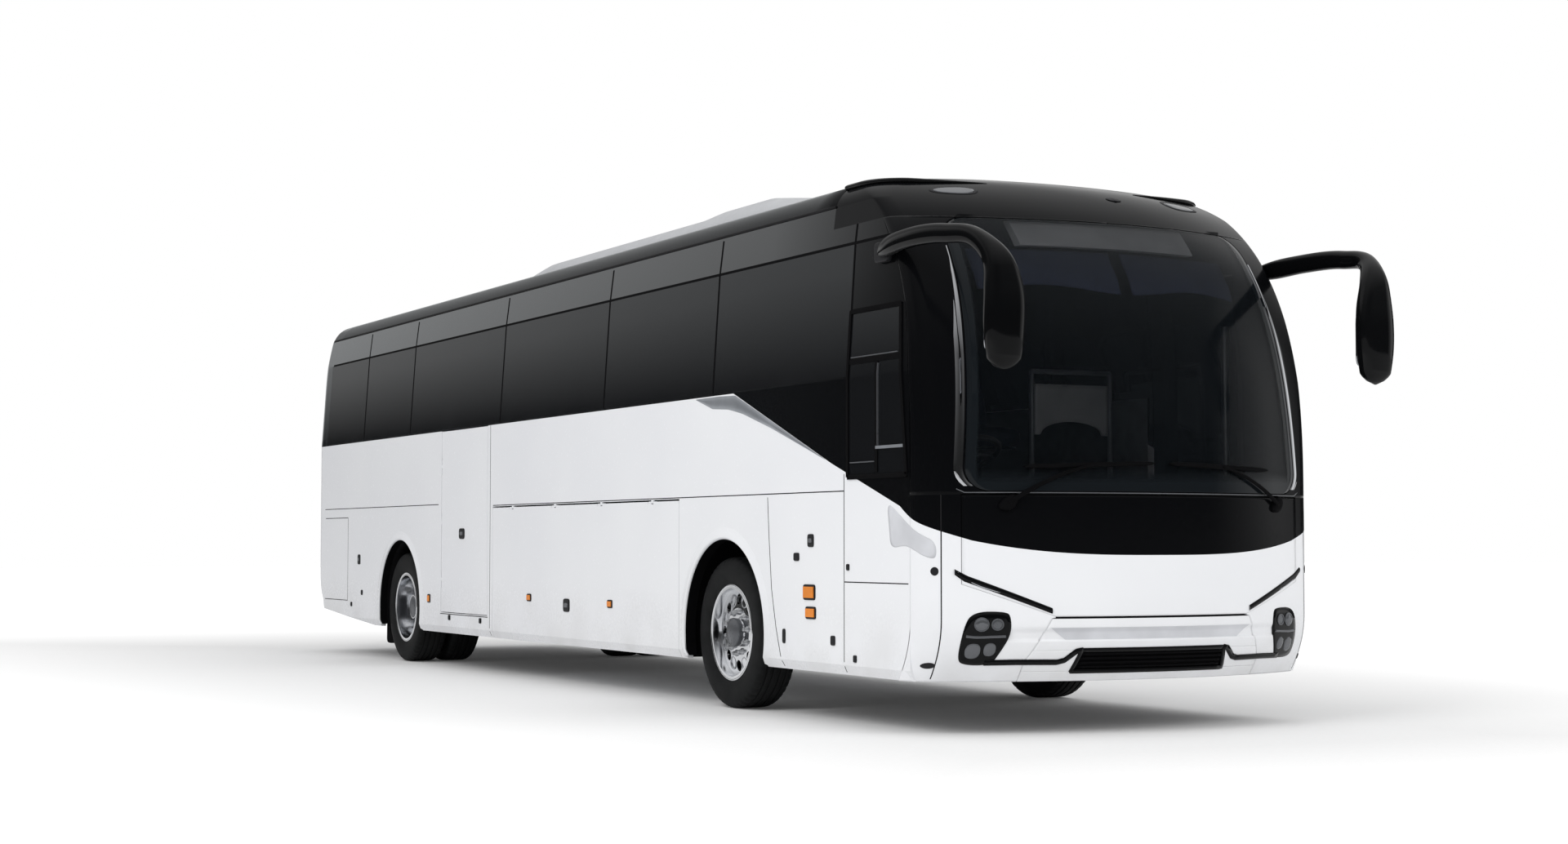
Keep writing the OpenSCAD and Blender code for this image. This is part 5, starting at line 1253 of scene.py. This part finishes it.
# pale patch behind the front corner
leaf = [(2.100, 1.235), (2.200, 1.190), (2.330, 1.115), (2.440, 1.060), (2.525, 1.025), (2.530, 0.930),
        (2.460, 0.945), (2.380, 0.985), (2.290, 1.005), (2.140, 0.985), (2.125, 1.090)]


def wrapBlob(outline, side, lift, edge=0.002, rings=9):
    # filled outline laid along the side wall and, past the corner centre, round the corner by arc length
    share = np.concatenate([np.linspace(0, 1, rings), [1.0]])[:, None, None]
    middle = outline.mean(0)
    flat = middle + share * (outline - middle)[None]
    rise = np.where(np.arange(rings + 1) == rings, -edge, lift)[:, None]
    x, z = flat[..., 0] + frontAxle, flat[..., 1]
    mx, cx, cy, meet, radius = bendPlace(z)
    angle = np.maximum(0, x - cx) / radius
    out = radius + rise
    return np.stack([np.minimum(x, cx) + out * np.sin(angle), side * (cy + out * np.cos(angle)), z], -1)


tubePiece("side_swoosh", "paleGreyAndPaintedShade", [wrapBlob(rounded(leaf), -1, 0.0012)], slot="trim_grey")

# frame and bars of the driver's window: each bar a line, its width and its lift
windowRows = {
    "rubber": [([(1.655, 1.380), (2.315, 1.380), (2.218, 2.302), (1.655, 2.302), (1.655, 1.380)],
                0.026, 0.007),
               ([(1.675, 2.020), (2.232, 2.020)], 0.030, 0.006),
               ([(1.985, 1.400), (1.985, 2.010)], 0.030, 0.006)],
    "silver": [([(1.985, 1.535), (2.285, 1.535)], 0.016, 0.009)],
    "darkTrim": [([(1.690, 1.460), (1.965, 1.460)], 0.006, 0.008),
                 ([(1.690, 2.043), (2.215, 2.043)], 0.005, 0.008),
                 ([(2.005, 1.545), (2.005, 1.995)], 0.005, 0.009)],
}
for key, rows in windowRows.items():
    finish, slot = ("deepBlack", "rubber") if key == "rubber" else (key, "trim_grey")
    bars = [sideStrip(line, wide, -1, lift) for line, wide, lift in rows]
    tubePiece("driver_window_" + key, finish, bars, slot=slot, smooth=False)

# joints between the panes and the line above them, which ends where the front corner begins
paneSet = {
    "low": 1.945, "high": 2.905, "seam": 2.692, "wide": 0.016,
    "splits": (-7.5975, -6.244, -4.0045, -1.9165, -0.1275),
    "cab": [(1.655, 2.315), (1.655, 2.80)], "from": -8.75, "rightEnd": 2.16, "leftEnd": 0.98,
}
seamZ = paneSet["seam"]
rightEnd = min(paneSet["rightEnd"], float(bendPlace(seamZ)[1]) - frontAxle)
dividers = [(side, [(x, paneSet["low"]), (x, paneSet["high"])]) for side in (-1, 1) for x in paneSet["splits"]]
dividers.append((-1, paneSet["cab"]))
for side, end in ((-1, rightEnd), (1, paneSet["leftEnd"])):
    dividers.append((side, [(paneSet["from"], seamZ), (end, seamZ)]))
dividers = [sideStrip(line, paneSet["wide"], side, 0.002) for side, line in dividers]
tubePiece("pane_dividers", "deepBlack", dividers, slot="rubber", smooth=False)

# passenger door: seams and grab handle, the handle's points from the front axle and the wall
doorSet = {
    "seams": [([(1.075, 1.280), (1.895, 1.280)], 0.008, 0.001),
              ([(1.485, 0.380), (1.485, 0.50)], 0.010, 0.002)],
    "handle": [(1.14, -0.004, 1.19), (1.14, 0.030, 1.205), (1.14, 0.030, 1.305), (1.14, -0.004, 1.32)],
    "handleR": 0.012,
}
doorSeams = [sideStrip(line, wide, 1, lift) for line, wide, lift in doorSet["seams"]]
tubePiece("door_seams", "seam", doorSeams, body="passenger_door", slot="trim_black", smooth=False)
handlePath = smoothPath(np.array(doorSet["handle"]) + [frontAxle, halfW, 0], 30)
handle = sweptTube(handlePath, doorSet["handleR"], doorSet["handleR"], 12, level=(1, 0, 0))
tubePiece("door_handle", "plastic", [handle], body="passenger_door", slot="trim_black")
print("sides done")

# rear: louvres, blank plate, grips, lamp housings and lenses, high stop lamp, seam and reflectors
rearSet = {
    "louvreZ": (1.10, 1.58, 13), "louvreY": (0.12, 0.80), "louvreX": rearX - 0.004,
    "plate": ((rearX - 0.004, 0, 0.945), (0.016, 0.520, 0.115)),
    "grips": [((rearX - 0.005, 0, 0.825), (0.020, 0.200, 0.045)),
              ((rearX - 0.004, 0, 1.030), (0.018, 0.600, 0.022))],
    "houseZ": (0.870, 1.550), "houseY": 1.095, "houseHalf": 0.066, "houseMid": 1.21, "houseRun": 0.34,
    "pinch": 0.25, "houseLift": 0.004, "discX": rearX + 0.006, "discDeep": 0.034,
    "discs": [("amber", 1.455, 0.046), ("red", 1.335, 0.046), ("red", 1.215, 0.046),
              ("clearLens", 1.095, 0.040), ("red", 0.975, 0.046)],
    "stopZ": 2.600, "stopSize": (0.022, 0.420, 0.030), "seamZ": 0.700, "seamHalf": 1.0,
    "reflectorZ": 0.62, "reflectorY": 0.86, "reflectorSize": (0.016, 0.130, 0.042),
}
louvres = []
for z in np.linspace(*rearSet["louvreZ"]):
    for side in (-1, 1):
        first, last = ((rearSet["louvreX"], side * y, z) for y in rearSet["louvreY"])
        louvres.append(sweptTube(np.linspace(first, last, 30), 0.010, 0.013, 10, 3, level=(1, 0, 0.6)))
tubePiece("motor_door_louvres", "plastic", louvres, body="motor_bay_door", slot="trim_black")
plate = softBox(*rearSet["plate"], 12, 12, 32)
tubePiece("rear_plate", "paleGrey", [plate], body="motor_bay_door", slot="body_white")
grips = [softBox(place, size, 5) for place, size in rearSet["grips"]]
tubePiece("motor_door_grip", "plastic", grips, body="motor_bay_door", slot="trim_black")
housing = Shell()
houseZ = columnOf(*rearSet["houseZ"], 30)
narrow = 1 - rearSet["pinch"] * np.abs((houseZ - rearSet["houseMid"]) / rearSet["houseRun"]) ** 8
houseY = rearSet["houseY"] + rearSet["houseHalf"] * rowOf(-1, 1, 14) * narrow
past = np.maximum(0, houseY - (halfW - tailSet["cornerR"]))  # how far the housing reaches round the corner
houseX = rearX + tailSet["cornerR"] - np.sqrt(tailSet["cornerR"] ** 2 - past ** 2) - rearSet["houseLift"]
for side in (-1, 1):
    housing.patch(np.stack([houseX, side * houseY, houseZ + 0 * houseY], -1), flip=side > 0)
housing.piece("tail_housings", "gloss", slot="trim_black", thick=0.006)
for kind, slot in (("amber", "lamp_amber"), ("red", "lamp_red"), ("clearLens", "lamp_clear")):
    discs = []
    for z, r in [(z, r) for name, z, r in rearSet["discs"] if name == kind]:
        place, size = np.array([rearSet["discX"], rearSet["houseY"], z]), (rearSet["discDeep"], 2 * r, 2 * r)
        discs += [softBox(place * [1, side, 1], size, 2.4, 14, 28) for side in (-1, 1)]
    tubePiece("tail_discs_" + kind, kind, discs, slot=slot)
stopPlace = (tailX(rearSet["stopZ"]) + 0.004, 0, rearSet["stopZ"])
tubePiece("high_stop_lamp", "red", [softBox(stopPlace, rearSet["stopSize"], 6, 10, 28)], slot="lamp_red")
seamX, seamZ = tailX(rearSet["seamZ"]) - 0.0005, rearSet["seamZ"]
first, last = ((seamX, side * rearSet["seamHalf"], seamZ) for side in (-1, 1))
rearSeam = sweptTube(np.linspace(first, last, 40), 0.002, 0.004, 8, level=(1, 0, 0))
tubePiece("rear_seam", "seam", [rearSeam], slot="trim_black")
place = np.array([tailX(rearSet["reflectorZ"]) - 0.001, rearSet["reflectorY"], rearSet["reflectorZ"]])
reflectors = [softBox(place * [1, side, 1], rearSet["reflectorSize"], 8, 10, 24) for side in (-1, 1)]
tubePiece("rear_reflectors", "red", reflectors, slot="lamp_red")
print("rear done")

# inside: wall linings, partition by the door with its posts, and sun blinds
liningSet = {"in": 0.066, "low": 1.300, "high": 1.925, "rearGap": 0.03, "ends": ((-1, 1.640), (1, 1.000))}
linings = Shell()
liningZ = rowOf(liningSet["low"], liningSet["high"], 6)
for side, end in liningSet["ends"]:
    liningX = columnOf(coach["rearSplit"] + liningSet["rearGap"], frontAxle + end, 40)
    liningY = side * (sideY(liningZ) - liningSet["in"]) + 0 * liningX
    linings.patch(np.stack([liningX + 0 * liningZ, liningY, liningZ + 0 * liningX], -1), flip=side < 0)
linings.piece("wall_linings", "greyPlastic", slot="trim_grey", thick=0.003)
partSet = {
    "x": frontAxle + 0.62, "y": (0.62, 1.17), "low": 1.70, "high": 2.02, "archUp": 0.085, "archMid": 0.895,
    "archHalf": 0.235, "postBack": 0.009, "postY": (0.60, 1.19), "postZ": (1.292, 2.10), "postR": 0.016,
}
partY, partRow = rowOf(*partSet["y"], 30), columnOf(0, 1, 10)
partArch = np.sqrt(np.clip(1 - ((partY - partSet["archMid"]) / partSet["archHalf"]) ** 2, 0, 1))
partLow = partSet["low"] + partSet["archUp"] * partArch
partZ = partLow + (partSet["high"] - partLow) * partRow
partition = Shell().patch(np.stack([partSet["x"] + 0 * partZ, partY + 0 * partZ, partZ], -1))
partition.piece("entry_partition", "paleGreyAndPaintedShade", slot="trim_grey", thick=0.018)
postX, (postLow, postTop) = partSet["x"] - partSet["postBack"], partSet["postZ"]
postLines = [((postX, y, postLow), (postX, y, postTop), (0, 1, 0)) for y in partSet["postY"]]
postLines.append(((postX, partSet["postY"][0], postTop), (postX, partSet["postY"][1], postTop), (1, 0, 0)))
posts = []
for first, last, level in postLines:
    posts.append(sweptTube(np.linspace(first, last, 30), partSet["postR"], partSet["postR"], 14, level=level))
tubePiece("partition_posts", "silver", posts, slot="steel")
blindSet = {
    "spans": ((-0.90, -0.04), (0.04, 0.86)), "top": 2.615, "drop": 0.22, "sway": 0.02, "swayRate": 6,
    "inset": 0.105, "pleat": 0.004, "pleatRate": 40,
}
blinds = Shell()
for span in blindSet["spans"]:
    blindY = rowOf(*span, 40)
    drop = blindSet["drop"] + blindSet["sway"] * np.cos(blindSet["swayRate"] * blindY)
    blindZ = blindSet["top"] - columnOf(0, 1, 14) * drop
    pleats = blindSet["inset"] + blindSet["pleat"] * np.sin(blindSet["pleatRate"] * blindZ)
    blinds.patch(frontAt(blindY + 0 * blindZ, blindZ, pleats))
blinds.piece("sun_blinds", "cloth", slot="trim_grey", thick=0.004)

# seats: one cushion and one back swell under cloth pressure, and every place takes a copy
seatSet = {
    "rows": 10, "first": -0.65, "pitch": 0.79, "y": 0.72, "half": 0.232, "floor": 1.290,
    "driver": (1.25, -0.72, 0.840), "pressure": 4.0, "cap": 0.016, "frames": 20,
    "cushion": (0.405, 0.425, 0.105), "cushionAt": (0.092, 0.434), "lean": 4,
    "back": (0.100, 0.425, 0.700), "backAt": (-0.262, 0.775), "tilt": 18, "hollow": 0.012, "hollowRate": 6,
    "narrow": 0.28, "narrowFrom": 0.12, "narrowRun": 0.23,
    "channel": 0.006, "channelY": 0.115, "channelHalf": 0.014, "channelUnder": 0.3,
    "leg": ((-0.02, 0, 0.178), (0.110, 0.060, 0.356)), "pan": ((0.06, 0, 0.368), (0.36, 0.40, 0.022)),
}


def padForms():
    # cushion and back: superellipsoids leaned to the seat's outline, drawn in a little before they swell
    lean, tilt = math.radians(seatSet["lean"]), math.radians(seatSet["tilt"])
    x, y, z = np.moveaxis(softBox((0, 0, 0), seatSet["cushion"], 5.5, 16, 32), -1, 0)
    ahead, up = seatSet["cushionAt"]
    cushion = np.stack([x * math.cos(lean) + ahead, y, z + x * math.sin(lean) + up], -1)
    x, y, z = np.moveaxis(softBox((0, 0, 0), seatSet["back"], 5.0, 24, 32), -1, 0)
    y = y * (1 - seatSet["narrow"] * np.clip((z - seatSet["narrowFrom"]) / seatSet["narrowRun"], 0, 1) ** 2)
    x = x - seatSet["hollow"] * np.sin(z * seatSet["hollowRate"])
    ahead, up = seatSet["backAt"]
    turned = [x * math.cos(tilt) - z * math.sin(tilt) + ahead, y, x * math.sin(tilt) + z * math.cos(tilt) + up]
    return cushion, np.stack(turned, -1)


def swollen(name, grid):
    # cloth pressure on the closed form, each point's move held to the cap
    shell = Shell().patch(grid, closeColumns=True)
    pad = shell.piece(name, "cloth", closed=True)
    mesh = pad.data
    rest = np.empty(len(mesh.vertices) * 3)
    mesh.vertices.foreach_get("co", rest)
    rest = rest.reshape(-1, 3)
    moved = rest
    cloth = pad.modifiers.new("cloth", "CLOTH")
    cloth.settings.use_pressure = True
    cloth.settings.uniform_pressure_force = seatSet["pressure"]
    cloth.settings.effector_weights.gravity = 0
    for step in range(1, seatSet["frames"] + 1):
        bpy.context.scene.frame_set(step)
    settled = pad.evaluated_get(bpy.context.evaluated_depsgraph_get())
    moved = np.empty_like(rest).reshape(-1)
    settled.data.vertices.foreach_get("co", moved)
    moved = moved.reshape(-1, 3)
    bpy.context.scene.frame_set(1)
    step = moved - rest
    long = np.linalg.norm(step, axis=1, keepdims=True)
    points = rest + step * np.minimum(1, seatSet["cap"] / np.maximum(long, 1e-9))
    faces = [tuple(p.vertices) for p in mesh.polygons]
    bpy.data.objects.remove(pad)
    bpy.data.meshes.remove(mesh)
    return points, faces


places = []
for row in range(seatSet["rows"]):
    x = frontAxle + seatSet["first"] - row * seatSet["pitch"]
    for side in (-1, 1):
        places += [(x, side * seatSet["y"] + o, seatSet["floor"]) for o in (-seatSet["half"], seatSet["half"])]
places.append((frontAxle + seatSet["driver"][0], seatSet["driver"][1], seatSet["driver"][2]))
places = np.array(places)
for name, form in zip(("seat_cushions", "seat_backs"), padForms()):
    points, faces = swollen(name + "_form", form)
    beside = (np.abs(points[:, 1]) - seatSet["channelY"]) / seatSet["channelHalf"]
    share = np.where(points[:, 2] > points[:, 2].mean(), 1, seatSet["channelUnder"])
    points[:, 2 if name == "seat_cushions" else 0] -= seatSet["channel"] * np.exp(-beside ** 2) * share
    allPoints = (places[:, None, :] + points[None]).reshape(-1, 3)
    allFaces = [tuple(v + k * len(points) for v in f) for k in range(len(places)) for f in faces]
    mesh = bpy.data.meshes.new(name)
    mesh.from_pydata(allPoints.tolist(), [], allFaces)
    mesh.polygons.foreach_set("use_smooth", np.full(len(mesh.polygons), True))
    mesh.materials.append(finishes["cloth"])
    pad = bpy.data.objects.new(name, mesh)
    bpy.context.scene.collection.objects.link(pad)
    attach(pad, "body")
    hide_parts("seats")
legs = []
for offset, size in (seatSet["leg"], seatSet["pan"]):
    legs += [softBox(place + offset, size, 8, 8, 16) for place in places]
tubePiece("seat_frames", "plastic", legs, slot="trim_black")
print("inside done")

# studio: pale floor, white surround for the camera, a dark horizon with low glows for reflections, soft lights
studio = {
    "floor": 160.0, "floorTone": (0.88, 0.88, 0.88, 1), "floorGlow": 0.55, "clearX": 6.3, "clearY": 1.3,
    "worldLight": 0.74, "horizon": 0.03, "sideGlow": (0.34, 0.25), "leftGlow": 1.3, "behindPanes": 0.75,
    "key": ((9, -13, 11), (0, -0.5, 1.2), 9.0, 900.0), "fill": ((15, 6, 8), (4, 0, 1.5), 8.0, 420.0),
}


def rayKinds(wire):
    # one wire for rays seen straight or through glass, then all light path outputs by name
    ray = wire.tree.nodes.new("ShaderNodeLightPath")
    kinds = {out.name: Wire(wire.tree, out) for out in ray.outputs}
    return wire.maths("MAXIMUM", kinds["Is Camera Ray"], kinds["Is Transmission Ray"]), kinds


def stageFloor():
    # matt floor; where it is seen it also glows, from little beside the coach to more further away
    material, wire, place = startMaterial("studioFloor")
    seen = rayKinds(wire)[0]
    x, y = axes(wire, place)[:2]
    away = wire.maths("MAXIMUM", x.size() - studio["clearX"], y.size() - studio["clearY"]).ramp(0.3, 8.0)
    grain = noise(wire, place, 30.0, 3.0).ramp(0.3, 0.7) * 0.02
    matt = wire.node("BsdfDiffuse", {}, {"Color": studio["floorTone"]})
    shine = away * studio["floorGlow"] + 0.04 - grain
    glow = wire.node("Emission", {}, {"Color": (1, 1, 1, 1), "Strength": shine})
    both = wire.node("AddShader", {}, {0: matt, 1: glow})
    wire.node("OutputMaterial", {}, {"Surface": wire.node("MixShader", {}, {0: seen, 1: matt, 2: both})})
    mesh = bpy.data.meshes.new("studio_floor")
    s = studio["floor"] / 2
    mesh.from_pydata([(-s, -s, 0), (s, -s, 0), (s, s, 0), (-s, s, 0)], [], [(0, 1, 2, 3)])
    mesh.materials.append(material)
    made = bpy.data.objects.new("studio_floor", mesh)
    bpy.context.scene.collection.objects.link(made)


stageFloor()
world = bpy.data.worlds.new("studio")
bpy.context.scene.world = world
world.use_nodes = True
world.node_tree.nodes.clear()
sky = Wire(world.node_tree)
seen, kinds = rayKinds(sky)
gloss = kinds["Is Glossy Ray"]
behind = kinds["Transparent Depth"].ramp(0.4, 0.6)  # what shows through panes is dimmed
eastward, northward, height = axes(sky, sky.node("TexCoord", {}, {}, 0))
# reflections: bright overhead, dark horizon, a low glow behind the sides and one to the left of the front
near = eastward.ramp(0.6, 0.9) * (0.35 - northward).ramp(0.0, 0.4)
dome = height.ramp(0.45, 0.95) * 0.75 + height.ramp(0.10, 0.40) * (0.18 - near * 0.14) + studio["horizon"]
level = height * sky.maths("MAXIMUM", northward.size(), 0.15) ** -1.0  # height on a wall along the coach
glow = level.ramp(0.288, 0.385) * studio["sideGlow"][0] + level.ramp(0.38, 0.60) * studio["sideGlow"][1]
glow = glow * (1 - level.ramp(0.65, 1.10) * 0.65)
dome = dome + (0 - eastward).ramp(0.0, 0.3) * glow
dome = dome + eastward.ramp(-0.1, 0.2) * northward.ramp(0.80, 0.97) * studio["leftGlow"]
strength = seen * (1 - behind * studio["behindPanes"])
strength = strength + (1 - seen) * (gloss * dome + (1 - gloss) * studio["worldLight"])
backdrop = sky.node("Background", {}, {"Color": (1, 1, 1, 1), "Strength": strength})
sky.node("OutputWorld", {}, {"Surface": backdrop})


def softLight(name, place, aim, size, watts):
    # round area light aimed at a point: tilt from the drop, turn from the bearing
    data = bpy.data.lights.new(name, "AREA")
    data.shape = "DISK"
    data.size = size
    data.energy = watts
    lamp = bpy.data.objects.new(name, data)
    lamp.location = place
    offset = np.array(aim) - np.array(place)
    tilt = math.acos(-offset[2] / np.linalg.norm(offset))
    lamp.rotation_euler = (tilt, 0, math.atan2(offset[1], offset[0]) - math.pi / 2)
    lamp.visible_glossy = False
    bpy.context.scene.collection.objects.link(lamp)


softLight("key_light", *studio["key"])
softLight("fill_light", *studio["fill"])
print("studio done")
